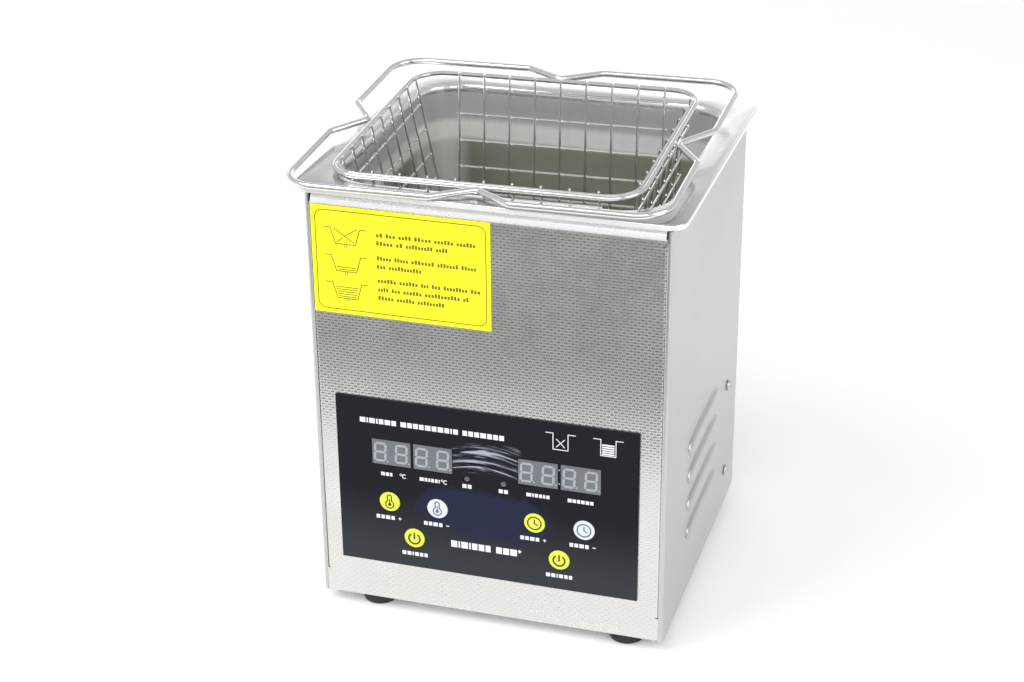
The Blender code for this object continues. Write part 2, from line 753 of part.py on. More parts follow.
def displays(finish):
    back = BOARD_FRONT - GAP
    size = (DISPLAY_SIZE[0], back - OVERLAY_FACE, DISPLAY_SIZE[1])
    for name, x in display_centres().items():
        place(name, box((x, (OVERLAY_FACE + back) / 2, DISPLAY_HEIGHT_Z), size), finish)


def keys(yellow, white):
    """Round keys, each with a stem that reaches back through the front sheet to its switch."""
    stem_end = SWITCH_FRONT - OVERLAY_FACE - 0.0007
    profile = (
        (KEY_RADIUS - 0.0003, KEY_PROUD),
        (KEY_RADIUS, KEY_PROUD - 0.0002),
        (KEY_RADIUS, KEY_PROUD - KEY_THICKNESS),
        (KEY_STEM_RADIUS, KEY_PROUD - KEY_THICKNESS),
        (KEY_STEM_RADIUS, -stem_end),
    )
    for name, (x, z) in key_centres().items():
        finish = white if "down" in name else yellow
        place(name, turned(profile), finish, (x, OVERLAY_FACE, z), FACE_FRONT, smooth=True)


def lamps(finish):
    length = BOARD_FRONT - GAP - OVERLAY_FACE
    profile = ((0.0007, 0.0002), (0.0013, -0.0002), (LAMP_RADIUS, -0.0007), (LAMP_RADIUS, -length))
    for name, x in LAMP_XS.items():
        lens = turned(profile, SMALL_STEPS)
        place(name, lens, finish, (x, OVERLAY_FACE, LAMP_Z), FACE_FRONT, smooth=True)


def control_board(finish, nylon):
    """The board behind the front sheet, with a tact switch in front of it for every key."""
    width, height = BOARD_SIZE
    margin = 0.005
    middle = BOARD_FRONT + BOARD_THICKNESS / 2
    sheet = box((BOARD_CENTRE[0], middle, BOARD_CENTRE[1]), (width, BOARD_THICKNESS, height))
    board = place("control_board", sheet, finish)
    switches = bmesh.new()
    depth = middle - SWITCH_FRONT
    for x, z in key_centres().values():
        add_box(switches, (x, SWITCH_FRONT + depth / 2, z), (SWITCH_SIDE, depth, SWITCH_SIDE))
    join(board, helper("board_switches", switches))
    start = FRONT + SHEET + GAP
    length = BOARD_FRONT - GAP - start
    for number, (sx, sz) in enumerate(FOUR_CORNERS, 1):
        x = BOARD_CENTRE[0] + sx * (width / 2 - margin)
        z = BOARD_CENTRE[1] + sz * (height / 2 - margin)
        spacer = cylinder((x, start + length / 2, z), SPACER_RADIUS, length, "Y", SMALL_STEPS)
        place(f"control_board_spacer_{number}", spacer, nylon)


def generator(board_finish, nylon, iron, aluminium, sleeve):
    """The ultrasonic generator on the case floor, with its three tall components."""
    x, y = GENERATOR_CENTRE
    thickness = GENERATOR_SIZE[2]
    top = GENERATOR_BOTTOM + thickness + GAP
    board = box((x, y, GENERATOR_BOTTOM + thickness / 2), GENERATOR_SIZE)
    place("generator_board", board, board_finish)
    length = GENERATOR_BOTTOM - GAP - FLOOR_TOP - GAP
    for number, (sx, sy) in enumerate(FOUR_CORNERS, 1):
        spot = (x + sx * SPACER_SPREAD[0], y + sy * SPACER_SPREAD[1], FLOOR_TOP + GAP + length / 2)
        spacer = cylinder(spot, SPACER_RADIUS, length, "Z", SMALL_STEPS)
        place(f"generator_board_spacer_{number}", spacer, nylon)
    core = box((*TRANSFORMER_SPOT, top + TRANSFORMER_SIZE[2] / 2), TRANSFORMER_SIZE)
    bevel(place("transformer", core, iron), 0.001, 1)
    can = turned(((0.009, 0.0), (0.009, 0.026), (0.008, 0.027)), SMALL_STEPS)
    place("capacitor", can, sleeve, (*CAPACITOR_SPOT, top), smooth=True)
    place("heatsink", heatsink_comb(), aluminium, (*HEATSINK_SPOT, top))


def heatsink_comb():
    """A flat back with upright fins, extruded upward."""
    fins = 5
    pitch = 0.009
    fin = 0.002
    back = 0.003
    reach = 0.014
    height = 0.024
    half = (fins - 1) / 2 * pitch + fin / 2
    outline = [(-half, 0.0), (half, 0.0)]
    for x in reversed(evenly(fins, pitch)):
        right, left = x + fin / 2, x - fin / 2
        outline += [(right, back), (right, reach), (left, reach), (left, back)]
    outline = [point for i, point in enumerate(outline) if point not in outline[:i]]
    return loft([[(x, y, z) for x, y in outline] for z in (0.0, height)])


# --- the rear fittings ----------------------------------------------------------------------------
def mains_inlet(plastic):
    """A flanged appliance inlet: a keyed recess with three pins, over a slot for the fuse drawer."""
    seat = REAR + GAP
    face = seat + INLET_FLANGE[1]
    flange = box((INLET_X, seat + INLET_FLANGE[1] / 2, INLET_Z), INLET_FLANGE)
    inlet = place("mains_inlet", flange, plastic)
    body_y = seat + 0.001 - INLET_BODY[1] / 2
    join(inlet, helper("inlet_body", box((INLET_X, body_y, INLET_Z), INLET_BODY)))
    recess_z = INLET_Z + RECESS_RISE
    cut(inlet, helper("inlet_recess", inlet_recess(), (INLET_X, face, recess_z)))
    cut(inlet, helper("drawer_slot", box((INLET_X, face, INLET_Z - DRAWER_DROP), DRAWER_SLOT)))
    root = face - RECESS_DEPTH - 0.001
    pins = bmesh.new()
    for x, z in PIN_SPOTS:
        add_box(pins, (INLET_X + x, root + PIN_SIZE[1] / 2, recess_z + z), PIN_SIZE)
    join(inlet, helper("inlet_pins", pins))


def inlet_recess():
    """The recess's six-sided hollow, which opens toward +Y."""
    x, z = RECESS_HALF
    outline = (
        (-x, -z),
        (x, -z),
        (x, z - RECESS_KEY),
        (x - RECESS_KEY, z),
        (-x + RECESS_KEY, z),
        (-x, z - RECESS_KEY),
    )
    return loft([[(px, y, pz) for px, pz in outline] for y in (CUT_DEPTH, -RECESS_DEPTH)])


def fuse_drawer(plastic):
    """A small drawer in the slot under the mains recess, standing a little proud of the flange."""
    block = box((0, -0.005, 0), DRAWER_SIZE)
    place_at = (INLET_X, REAR + INLET_FLANGE[1] + GAP, INLET_Z - DRAWER_DROP)
    bevel(place("fuse_drawer", block, plastic, place_at), 0.0004, 1)


def power_rocker(plastic, face_colour):
    """The mains switch: a snap-in housing and a rocker that pivots about X."""
    seat = REAR + GAP
    bezel = box((ROCKER_X, seat + HOUSING_BEZEL[1] / 2, ROCKER_Z), HOUSING_BEZEL)
    housing = place("rocker_housing", bezel, plastic)
    body_y = seat + 0.001 - HOUSING_BODY[1] / 2
    join(housing, helper("housing_body", box((ROCKER_X, body_y, ROCKER_Z), HOUSING_BODY)))
    cavity_y = seat + HOUSING_BEZEL[1]
    cut(housing, helper("housing_cavity", box((ROCKER_X, cavity_y, ROCKER_Z), HOUSING_CAVITY)))
    section = (
        (0.0022, -0.007),
        (0.0034, -0.0035),
        (0.0036, 0.0),
        (0.0034, 0.0035),
        (0.0022, 0.007),
        (-0.0035, 0.0062),
        (-0.0035, -0.0062),
    )
    ends = (-ROCKER_HALF_WIDTH, ROCKER_HALF_WIDTH)
    rocker = loft([[(x, y, z) for y, z in section] for x in ends])
    turn = Euler((-ROCKER_TILT, 0, 0))
    place("rocker", rocker, face_colour, (ROCKER_X, REAR, ROCKER_Z), turn)


# --- the basket -----------------------------------------------------------------------------------
def kinked_path():
    """The support frame's centre line: a round-cornered rectangle pulled in to the rim at mid-side."""
    beside_rim = RIM_WIRE + FRAME_WIRE + GAP
    half_x, half_y = FRAME_HALF
    across = (half_x, RIM_HALF[0] + beside_rim)
    along_y = (half_y, RIM_HALF[1] + beside_rim)
    sides = ((1, 0, *across), (0, 1, *along_y), (-1, 0, *across), (0, -1, *along_y))
    corners = ((1, 1), (-1, 1), (-1, -1), (1, -1))
    path = []
    for quarter, (nx, ny, outer, apex) in enumerate(sides):
        tx, ty = -ny, nx
        points = [(outer, -KINK_HALF_WIDTH), (apex, 0.0), (outer, KINK_HALF_WIDTH)]
        around = [(outer, -2 * KINK_HALF_WIDTH), *points, (outer, 2 * KINK_HALF_WIDTH)]
        for i in range(1, 4):
            for out, along in fillet(around[i - 1], around[i], around[i + 1], KINK_ROUND):
                path.append((nx * out + tx * along, ny * out + ty * along, 0.0))
        sx, sy = corners[quarter]
        for k in range(6):
            angle = math.pi / 2 * (quarter + k / 5)
            x = sx * (half_x - FRAME_CORNER) + FRAME_CORNER * math.cos(angle)
            y = sy * (half_y - FRAME_CORNER) + FRAME_CORNER * math.sin(angle)
            path.append((x, y, 0.0))
    return path


def fillet(before, corner, after, radius, steps=3):
    """Points of the arc that rounds a corner between two straight runs."""
    here = Vector(corner)
    back = (Vector(before) - here).normalized()
    ahead = (Vector(after) - here).normalized()
    half = back.angle(ahead) / 2
    reach = radius / math.tan(half)
    centre = here + (back + ahead).normalized() * (radius / math.sin(half))
    start = here + back * reach - centre
    end = here + ahead * reach - centre
    sweep = start.angle_signed(end)
    return [tuple(centre + Matrix.Rotation(-sweep * i / steps, 2) @ start) for i in range(steps + 1)]


def basket_walls(finish, parent):
    """Four leaning wire grids inside the rim, and a wire floor between their lower ends."""
    inset = RIM_WIRE + GAP + MESH_WIRE / 2
    wide = [x + WIDE_WALL_SHIFT for x in evenly(WIDE_WALL_WIRES, WIDE_WALL_PITCH)]
    narrow = [y + NARROW_WALL_SHIFT for y in evenly(NARROW_WALL_WIRES, NARROW_WALL_PITCH)]
    facing_back = [-x for x in wide]
    facing_right = [-y for y in narrow]
    walls = {
        "back": (wide, WIDE_WALL_RUNGS, 0, (0, RIM_HALF[1] - inset)),
        "left": (narrow, NARROW_WALL_RUNGS, 90, (-RIM_HALF[0] + inset, 0)),
        "front": (facing_back, WIDE_WALL_RUNGS, 180, (0, -RIM_HALF[1] + inset)),
        "right": (facing_right, NARROW_WALL_RUNGS, -90, (RIM_HALF[0] - inset, 0)),
    }
    for name, (uprights, (first, pitch, count), heading, (x, y)) in walls.items():
        rungs = [-(first + i * pitch) for i in range(count)]
        grid = lattice(uprights, rungs, -MESH_DEPTH, MESH_PEEK, MESH_WIRE)
        turn = Euler((math.pi / 2 - MESH_LEAN, 0, math.radians(heading)))
        wall = place(f"basket_{name}_wall", grid, finish, (x, y, 0), turn, parent)
        thicken(wall, MESH_WIRE, 0.0)
    shrink = inset + MESH_DEPTH * math.sin(MESH_LEAN) + MESH_WIRE / 2 + 2 * GAP
    reach_x, reach_y = (half - shrink for half in RIM_HALF)
    border = reach_y - MESH_WIRE / 2
    across = [-border, *narrow[1:-1], border]
    grid = lattice(wide, across, -reach_y, reach_y, MESH_WIRE, (-reach_x, reach_x))
    drop = (0, 0, -MESH_DEPTH * math.cos(MESH_LEAN))
    thicken(place("basket_floor", grid, finish, drop, FACE_UP, parent), MESH_WIRE, 0.0)


def basket(finish):
    """Everything that lifts out together, leaning with its front-left corner down on the flange."""
    hold = bpy.data.objects.new("basket_place", None)
    hold.location = BASKET_PLACE
    hold.rotation_euler = BASKET_TURN
    bpy.context.scene.collection.objects.link(hold)
    rim_path = [(x, y, 0.0) for x, y in rounded_rectangle(*RIM_HALF, RIM_CORNER, 5)]
    place("basket_rim", wire_loop(rim_path, RIM_WIRE), finish, parent=hold, smooth=True)
    place("basket_frame", wire_loop(kinked_path(), FRAME_WIRE), finish, parent=hold, smooth=True)
    basket_walls(finish, hold)


# --- assembly -------------------------------------------------------------------------------------
def slide_to_origin():
    """Slides everything so that the origin is under the middle of the whole, basket included."""
    for obj in bpy.data.objects:
        if obj.parent is None:
            obj.location.x += CENTRE_SHIFT[0]
            obj.location.y += CENTRE_SHIFT[1]


def build():
    clear_scene()
    embossed = material("embossed_steel", (0.56, 0.55, 0.52), 0.38, 1.0)
    satin = material("satin_steel", (0.74, 0.74, 0.74), 0.32, 1.0)
    polished = material("polished_steel", (0.8, 0.8, 0.8), 0.16, 1.0)
    zinc = material("plated_steel", (0.6, 0.6, 0.58), 0.35, 1.0)
    aluminium = material("aluminium", (0.78, 0.78, 0.79), 0.4, 1.0)
    rubber = material("black_rubber", (0.025, 0.025, 0.027), 0.75)
    silicone = material("grey_silicone", (0.35, 0.35, 0.36), 0.6)
    overlay = material("dark_overlay", (0.02, 0.027, 0.04), 0.3)
    yellow_sheet = material("yellow_label", (0.95, 0.9, 0.02), 0.45)
    yellow_key = material("yellow_key", (0.75, 0.75, 0.02), 0.4)
    white_key = material("white_key", (0.85, 0.87, 0.9), 0.4)
    display = material("grey_display", (0.55, 0.55, 0.54), 0.35)
    lens = material("clear_lamp", (0.55, 0.56, 0.58), 0.2)
    laminate = material("green_laminate", (0.03, 0.16, 0.07), 0.5)
    nylon = material("white_nylon", (0.85, 0.84, 0.8), 0.5)
    ceramic = material("piezo_ceramic", (0.45, 0.38, 0.3), 0.55)
    heater_rubber = material("orange_silicone", (0.6, 0.17, 0.04), 0.65)
    core_iron = material("transformer_tape", (0.6, 0.45, 0.08), 0.5)
    sleeve = material("capacitor_sleeve", (0.03, 0.04, 0.12), 0.35)
    black_plastic = material("black_plastic", (0.02, 0.02, 0.021), 0.4)
    rocker_plastic = material("rocker_black", (0.03, 0.03, 0.03), 0.3)

    front_panel(embossed)
    side_panel("left_side_panel", -1, satin)
    side_panel("right_side_panel", 1, satin)
    rear_panel(satin)
    base_plate(satin)
    feet(rubber)
    side_screws(zinc)
    tank(polished)
    tank_seal(silicone)
    transducer(aluminium, ceramic, zinc)
    heater(heater_rubber, zinc)
    control_overlay(overlay)
    label_plate(yellow_sheet)
    displays(display)
    keys(yellow_key, white_key)
    lamps(lens)
    control_board(laminate, nylon)
    generator(laminate, nylon, core_iron, aluminium, sleeve)
    mains_inlet(black_plastic)
    fuse_drawer(black_plastic)
    power_rocker(black_plastic, rocker_plastic)
    basket(polished)
    slide_to_origin()


build()
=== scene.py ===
"""The looks of a bench-top ultrasonic cleaner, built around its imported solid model.

Every piece is made in the row frame, in metres: the control panel faces -Y and +Z is up.
"""

import json
from math import cos, pi, radians, sin, tan

import bmesh
import bpy
from mathutils import Euler, Matrix, Vector

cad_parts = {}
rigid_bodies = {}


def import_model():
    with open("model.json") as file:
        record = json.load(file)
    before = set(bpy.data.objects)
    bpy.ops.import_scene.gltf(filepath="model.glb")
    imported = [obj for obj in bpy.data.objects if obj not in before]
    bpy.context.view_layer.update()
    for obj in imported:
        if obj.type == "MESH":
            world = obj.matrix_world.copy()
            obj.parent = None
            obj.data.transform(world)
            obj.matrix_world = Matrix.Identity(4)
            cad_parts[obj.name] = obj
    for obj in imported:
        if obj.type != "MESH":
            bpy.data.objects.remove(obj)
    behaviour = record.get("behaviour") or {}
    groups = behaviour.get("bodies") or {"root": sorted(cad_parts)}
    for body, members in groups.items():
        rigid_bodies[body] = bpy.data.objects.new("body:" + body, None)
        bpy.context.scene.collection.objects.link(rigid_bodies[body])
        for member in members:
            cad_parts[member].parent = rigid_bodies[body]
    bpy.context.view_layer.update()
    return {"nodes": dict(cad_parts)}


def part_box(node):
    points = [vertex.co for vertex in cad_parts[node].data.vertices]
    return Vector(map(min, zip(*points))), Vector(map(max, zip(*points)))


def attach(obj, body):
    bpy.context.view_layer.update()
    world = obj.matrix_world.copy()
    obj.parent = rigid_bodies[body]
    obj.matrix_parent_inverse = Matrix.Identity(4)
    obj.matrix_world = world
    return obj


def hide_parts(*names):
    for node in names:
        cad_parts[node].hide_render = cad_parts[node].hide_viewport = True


for leftover in list(bpy.data.objects):
    bpy.data.objects.remove(leftover, do_unlink=True)

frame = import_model()
NODES = frame["nodes"]

# The basket's own frame and wires, as in the solid model.
BASKET = Matrix.Translation((-0.0033, -0.0055, 0.2346)) @ Euler(
    (radians(3.0), radians(-0.8), 0)
).to_matrix().to_4x4()
RIM_HALF = (0.0754, 0.0681)
RIM_CORNER = 0.0164
RIM_WIRE = 0.00125
FRAME_HALF = (0.092, 0.0831)
FRAME_CORNER = 0.0164
FRAME_WIRE = 0.0016
KINK_HALF_WIDTH = 0.0195
KINK_ROUND = 0.005
MESH_WIRE = 0.00065
MESH_DEPTH = 0.0725
MESH_PEEK = 0.0021
MESH_LEAN = radians(9)
MESH_BEND = 0.004
RUNG_END = 0.0016
WELD_SUNK = 0.0001
WIDE_WIRES = [-0.0526 + 0.01365 * i for i in range(9)]
NARROW_WIRES = [-0.0518 + 0.0131 * i for i in range(9)]
WIDE_RUNGS = [0.006 + 0.0141 * i for i in range(5)]
NARROW_RUNGS = [0.0132 + 0.0138 * i for i in range(4)]

# The tank, as in the solid model.
FLANGE_HALF = (0.0943, 0.0885)
FLANGE_CORNER = 0.009
LIP_HEIGHT = 0.0028
LIP_BEND = 0.0012
OPENING_HALF = (0.0833, 0.0778)
OPENING_CORNER = 0.025
TANK_DEPTH = 0.1
TANK_SHEET = 0.0009
RIM_BEND = 0.0035
FLOOR_BEND = 0.012
WALL_TAPER = 0.001

# Where the finishes change along their sheets.
DASH_PITCH = (0.00346, 0.00148)
# DASH_FADE: where the dashes fade into the painted brightening at the foot, a painted reflection of the
# pale floor.
DASH_FADE = (0.09, 0.122)
# BEND_START: where the top bend begins; the bend is painted near-white as a painted reflection of the
# sky.
BEND_START = (0.2178, 0.2192)
WARMER_TO_THE_RIGHT = (1.0, 0.985, 0.93)
TANK_MIDDLE_X = 0.0025
# BAND_TOP and BAND_FOOT bound the painted highlight band on the tank walls; below BAND_FOOT the walls
# are painted dark as shade.
BAND_TOP = (0.206, 0.2105)
BAND_FOOT = (0.1955, 0.2)

# Turns a shape made about +Z until its top faces -Y.
FACE_FRONT = Matrix.Rotation(pi / 2, 4, "X")
ROCKER_PIVOT = (0.0851, 0.048)
ROCKER_REST = radians(-12)

# How far an ink slab stands out of its face and reaches into it, and where the prints lie.
PRINT_PROUD = 0.00006
PRINT_SUNK = 0.00001
BELOW_KEY = 0.009
BELOW_DISPLAY = 0.012
BELOW_LAMP = 0.0039
TITLE_Z = 0.1079
SECOND_LINE_Z = 0.0452
ICON_LINE = 0.0004
BLOCK_GAP = 0.0006
LAMPS = ("heater_lamp", "ultrasonic_lamp")


def link(obj):
    bpy.context.scene.collection.objects.link(obj)


# --- node materials ---
class Finish:
    """One material's node tree, with short calls for the nodes that the finishes share."""

    def __init__(self, name, **sockets):
        self.material = bpy.data.materials.new(name)
        self.material.use_nodes = True
        self.tree = self.material.node_tree
        self.shader = self.tree.nodes["Principled BSDF"]
        for key, value in sockets.items():
            self.shader.inputs[key.replace("_", " ")].default_value = value
        self.place = self.add("ShaderNodeTexCoord").outputs["Object"]

    def add(self, kind, **settings):
        node = self.tree.nodes.new(kind)
        for key, value in settings.items():
            setattr(node, key, value)
        return node

    def feed(self, socket, value):
        if isinstance(value, bpy.types.NodeSocket):
            self.tree.links.new(value, socket)
        elif value is not None:
            socket.default_value = value

    def maths(self, operation, first, second=None):
        node = self.add("ShaderNodeMath", operation=operation)
        for socket, value in zip(node.inputs, (first, second)):
            self.feed(socket, value)
        return node.outputs[0]

    def plus(self, first, second):
        return self.maths("ADD", first, second)

    def minus(self, first, second):
        return self.maths("SUBTRACT", first, second)

    def times(self, first, second):
        return self.maths("MULTIPLY", first, second)

    def most(self, first, second):
        return self.maths("MAXIMUM", first, second)

    def far_from(self, value, middle):
        return self.maths("ABSOLUTE", self.minus(value, middle))

    def axes(self):
        node = self.add("ShaderNodeSeparateXYZ")
        self.feed(node.inputs[0], self.place)
        return node.outputs

    def stretched(self, scale, offset=(0, 0, 0)):
        node = self.add("ShaderNodeMapping")
        self.feed(node.inputs["Vector"], self.place)
        node.inputs["Scale"].default_value = scale
        node.inputs["Location"].default_value = offset
        return node.outputs[0]

    def noise(self, scale, detail=3.0, roughness=0.5, vector=None, distortion=0.0):
        node = self.add("ShaderNodeTexNoise")
        self.feed(node.inputs["Vector"], vector or self.place)
        node.inputs["Scale"].default_value = scale
        node.inputs["Detail"].default_value = detail
        node.inputs["Roughness"].default_value = roughness
        node.inputs["Distortion"].default_value = distortion
        return node.outputs["Fac"]

    def span(self, value, low, high, to_low=0.0, to_high=1.0):
        node = self.add("ShaderNodeMapRange", interpolation_type="SMOOTHSTEP")
        for socket, number in zip(node.inputs, (value, low, high, to_low, to_high)):
            self.feed(socket, number)
        return node.outputs[0]

    def blend(self, amount, first, second):
        node = self.add("ShaderNodeMix", data_type="RGBA")
        self.feed(node.inputs["Factor"], amount)
        self.feed(node.inputs["A"], colour(first))
        self.feed(node.inputs["B"], colour(second))
        return node.outputs["Result"]

    def bump(self, height, distance, strength=1.0, under=None):
        node = self.add("ShaderNodeBump")
        node.inputs["Distance"].default_value = distance
        node.inputs["Strength"].default_value = strength
        self.feed(node.inputs["Height"], height)
        self.feed(node.inputs["Normal"], under)
        return node.outputs[0]

    def surface(self, base=None, roughness=None, normal=None, metallic=None):
        self.feed(self.shader.inputs["Base Color"], base)
        self.feed(self.shader.inputs["Roughness"], roughness)
        self.feed(self.shader.inputs["Normal"], normal)
        self.feed(self.shader.inputs["Metallic"], metallic)
        return self.material


def colour(value):
    """A colour socket wants four numbers; sockets and None pass as they are."""
    if isinstance(value, tuple) and len(value) == 3:
        return (*value, 1.0)
    return value


def shade(value, factor):
    return tuple(min(1.0, channel * factor) for channel in value)


def grey(level):
    return (level,) * 3


def steel(name, tone, roughness, grain, depth=0.000004, uneven=0.08):
    """Rolled or brushed sheet: fine streaks along the grain, faint clouds and a few scuffs."""
    f = Finish(name, Metallic=1.0)
    streaks = f.noise(1.0, 4.0, 0.65, f.stretched(grain))
    fine = f.noise(1.0, 2.0, 0.5, f.stretched(tuple(g * 3.1 for g in grain), (3, 1, 2)))
    clouds = f.noise(14.0, 4.0, 0.55)
    scuffs = f.noise(160.0, 5.0, 0.7, distortion=0.4)
    both = f.plus(f.times(streaks, 0.6), f.times(fine, 0.4))
    light = f.span(both, 0.3, 0.7)
    base = f.blend(light, shade(tone, 1 - uneven), shade(tone, 1 + uneven / 2))
    base = f.blend(f.span(clouds, 0.35, 0.7, 0.0, 0.35), base, shade(tone, 0.86))
    rough = f.span(both, 0.25, 0.75, roughness * 0.82, roughness * 1.22)
    rough = f.plus(rough, f.span(scuffs, 0.62, 0.8, 0.0, 0.14))
    return f.surface(base, rough, f.bump(both, depth, 0.55))


def embossed_steel():
    """Stainless sheet rolled with a running bond of short dashes, each a shallow pressed pad.

    The top bend is plain, with no dashes, and painted near-white as a painted reflection of the sky;
    toward the foot the sheet is painted brighter, a painted reflection of the pale floor, and its
    dashes fade.
    """
    f = Finish("embossed_sheet", Metallic=1.0)
    x, _, z = f.axes()
    row = f.maths("DIVIDE", z, DASH_PITCH[1])
    shift = f.times(f.maths("PINGPONG", f.maths("FLOOR", row), 1.0), 0.5)
    column = f.maths("FRACT", f.plus(f.maths("DIVIDE", x, DASH_PITCH[0]), shift))
    across = f.far_from(column, 0.5)
    up = f.far_from(f.maths("FRACT", row), 0.5)
    sheet_part = f.span(z, *BEND_START, 1.0, 0.0)
    dash = f.times(f.span(across, 0.17, 0.27, 1.0, 0.0), f.span(up, 0.14, 0.3, 1.0, 0.0))
    link = f.times(f.span(across, 0.32, 0.42), f.span(up, 0.1, 0.3, 1.0, 0.0))
    outline = f.times(f.span(across, 0.27, 0.36), f.span(across, 0.38, 0.45, 1.0, 0.0))
    outline = f.most(outline, f.span(up, 0.33, 0.47))
    worn = f.noise(9.0, 3.0, 0.5)
    wear = f.noise(55.0, 5.0, 0.65)
    grain = f.noise(1.0, 3.0, 0.6, f.stretched((90.0, 90.0, 5200.0)))
    # Painted reflection: the tone is painted light at the foot, darkest across the middle and lighter
    # again toward the top, and slightly warmer toward the right.
    low = f.span(z, 0.085, 0.145, 1.0, 0.0)
    middle = f.span(z, 0.15, 0.2, 0.47, 0.78)
    upper = f.add("ShaderNodeCombineColor")
    for socket, fade in zip(upper.inputs[:3], WARMER_TO_THE_RIGHT):
        f.feed(socket, f.times(middle, f.span(x, -0.06, 0.07, 1.0, fade)))
    tone = f.blend(low, upper.outputs[0], (0.72, 0.713, 0.68))
    base = f.blend(f.span(grain, 0.3, 0.7, 0.0, 0.1), tone, grey(0.5))
    base = f.blend(f.span(worn, 0.3, 0.72, 0.0, 0.3), base, (0.7, 0.7, 0.71))
    # Painted shade and highlight: the pressed dashes and the links between them are a real relief,
    # given by the bump, but their dark fill is painted shade in the hollows and their pale outlines are
    # painted highlights on the rims; both fade toward the foot.
    dark = f.most(dash, f.times(link, 0.6))
    dark = f.times(dark, f.span(wear, 0.25, 0.75, 0.72, 1.0))
    dark = f.times(dark, f.span(z, *DASH_FADE, 0.16, 1.0))
    bright = f.times(outline, f.span(z, *DASH_FADE, 0.1, 0.5))
    base = f.blend(bright, base, (0.97, 0.965, 0.95))
    base = f.blend(f.times(dark, sheet_part), base, grey(0.2))
    # Painted reflection: the top bend, above BEND_START, is painted near-white.
    base = f.blend(sheet_part, (0.97, 0.97, 0.98), base)
    rough = f.plus(f.span(wear, 0.3, 0.7, 0.24, 0.34), f.times(dash, 0.05))
    height = f.times(sheet_part, f.minus(0.5, f.times(dark, 0.9)))
    pressed = f.bump(height, 0.00011, 0.5)
    # The painted near-white bend is also made less metallic, so that it shows bright.
    metal = f.span(sheet_part, 0.0, 1.0, 0.45, 1.0)
    return f.surface(base, rough, f.bump(f.times(grain, sheet_part), 0.000003, 0.35, pressed), metal)


def drawn_tank():
    """The deep-drawn tank: a bright flange with painted light on it, satin walls, a painted highlight
    band and painted shade below it.
    """
    f = Finish("drawn_steel")
    x, y, z = f.axes()
    streaks = f.noise(1.0, 4.0, 0.6, f.stretched((240.0, 240.0, 9.0)))
    clouds = f.noise(22.0, 4.0, 0.55, distortion=0.3)
    spots = f.noise(240.0, 5.0, 0.7)
    line = f.plus(z, f.times(f.minus(clouds, 0.5), 0.002))
    sideways = f.span(f.far_from(x, TANK_MIDDLE_X), 0.0855, 0.0885, 0.0, 1.0)
    endways = f.span(f.maths("ABSOLUTE", y), 0.0795, 0.0825, 0.0, 1.0)
    lip = f.most(sideways, endways)
    flange = f.most(f.span(z, 0.2225, 0.2238), lip)
    # Painted highlight: a near-white band runs round the walls between BAND_FOOT and BAND_TOP, with
    # plain grey wall above it.
    wall = f.blend(f.span(line, *BAND_TOP), (1.0, 0.995, 0.975), (0.55, 0.55, 0.57))
    # Painted shade: what is called film here is the lower walls and the floor, below BAND_FOOT, painted
    # a dark olive as the shade deep in the tank.
    film = f.blend(clouds, (0.25, 0.25, 0.19), (0.33, 0.33, 0.26))
    # Painted highlight: the painted shade is lifted toward pale grey in the far left corner, where a
    # highlight falls.
    corner = f.times(f.span(x, -0.066, -0.054, 1.0, 0.0), f.span(y, 0.03, 0.06))
    film = f.blend(f.times(corner, 0.8), film, (0.8, 0.8, 0.78))
    wall = f.blend(f.span(line, *BAND_FOOT), film, wall)
    # Painted reflection: the flange top is painted lighter from the front toward the back.
    top = f.blend(f.span(y, -0.085, 0.0), grey(0.6), grey(0.86))
    # Painted highlight: the rolled lip round the flange is painted near-white.
    folded = f.times(f.span(z, 0.2268, 0.2278, 1.0, 0.0), lip)
    top = f.blend(folded, top, (0.95, 0.95, 0.96))
    base = f.blend(flange, wall, top)
    base = f.blend(f.span(streaks, 0.3, 0.7, 0.0, 0.12), base, grey(0.4))
    base = f.blend(f.span(spots, 0.68, 0.8, 0.0, 0.12), base, (0.42, 0.41, 0.38))
    rough = f.blend(flange, grey(0.36), grey(0.2))
    rough = f.plus(rough, f.span(streaks, 0.3, 0.7, -0.03, 0.04))
    metal = f.plus(0.45, f.times(flange, 0.55))
    # The lip's painted highlight is made less metallic, so that it shows bright.
    metal = f.minus(metal, f.times(folded, 0.65))
    return f.surface(base, rough, f.bump(streaks, 0.0000015, 0.35), metal)


def plastic(name, tone, roughness, grain=900.0, depth=0.00002, spread=0.12, **sockets):
    """Moulded plastic: a fine grain, slight mottling, and polish that varies a little."""
    f = Finish(name, **sockets)
    mottle = f.noise(35.0, 4.0, 0.55)
    skin = f.noise(grain, 3.0, 0.6)
    base = f.blend(mottle, shade(tone, 1 - spread), shade(tone, 1 + spread))
    rough = f.span(mottle, 0.3, 0.7, roughness * 0.85, roughness * 1.18)
    return f.surface(base, rough, f.bump(skin, depth, 0.6))


def printed_film(name, tone, roughness, spread=0.05):
    """Printed polyester film: an even ink with a faint orange peel and handling marks."""
    f = Finish(name)
    ink = f.noise(60.0, 4.0, 0.6)
    peel = f.noise(1400.0, 2.0, 0.5)
    marks = f.noise(1.0, 4.0, 0.7, f.stretched((220.0, 40.0, 60.0)), 0.6)
    base = f.blend(ink, shade(tone, 1 - spread), shade(tone, 1 + spread))
    rough = f.span(marks, 0.35, 0.75, roughness * 0.85, roughness * 1.35)
    return f.surface(base, rough, f.bump(peel, 0.000006, 0.5))


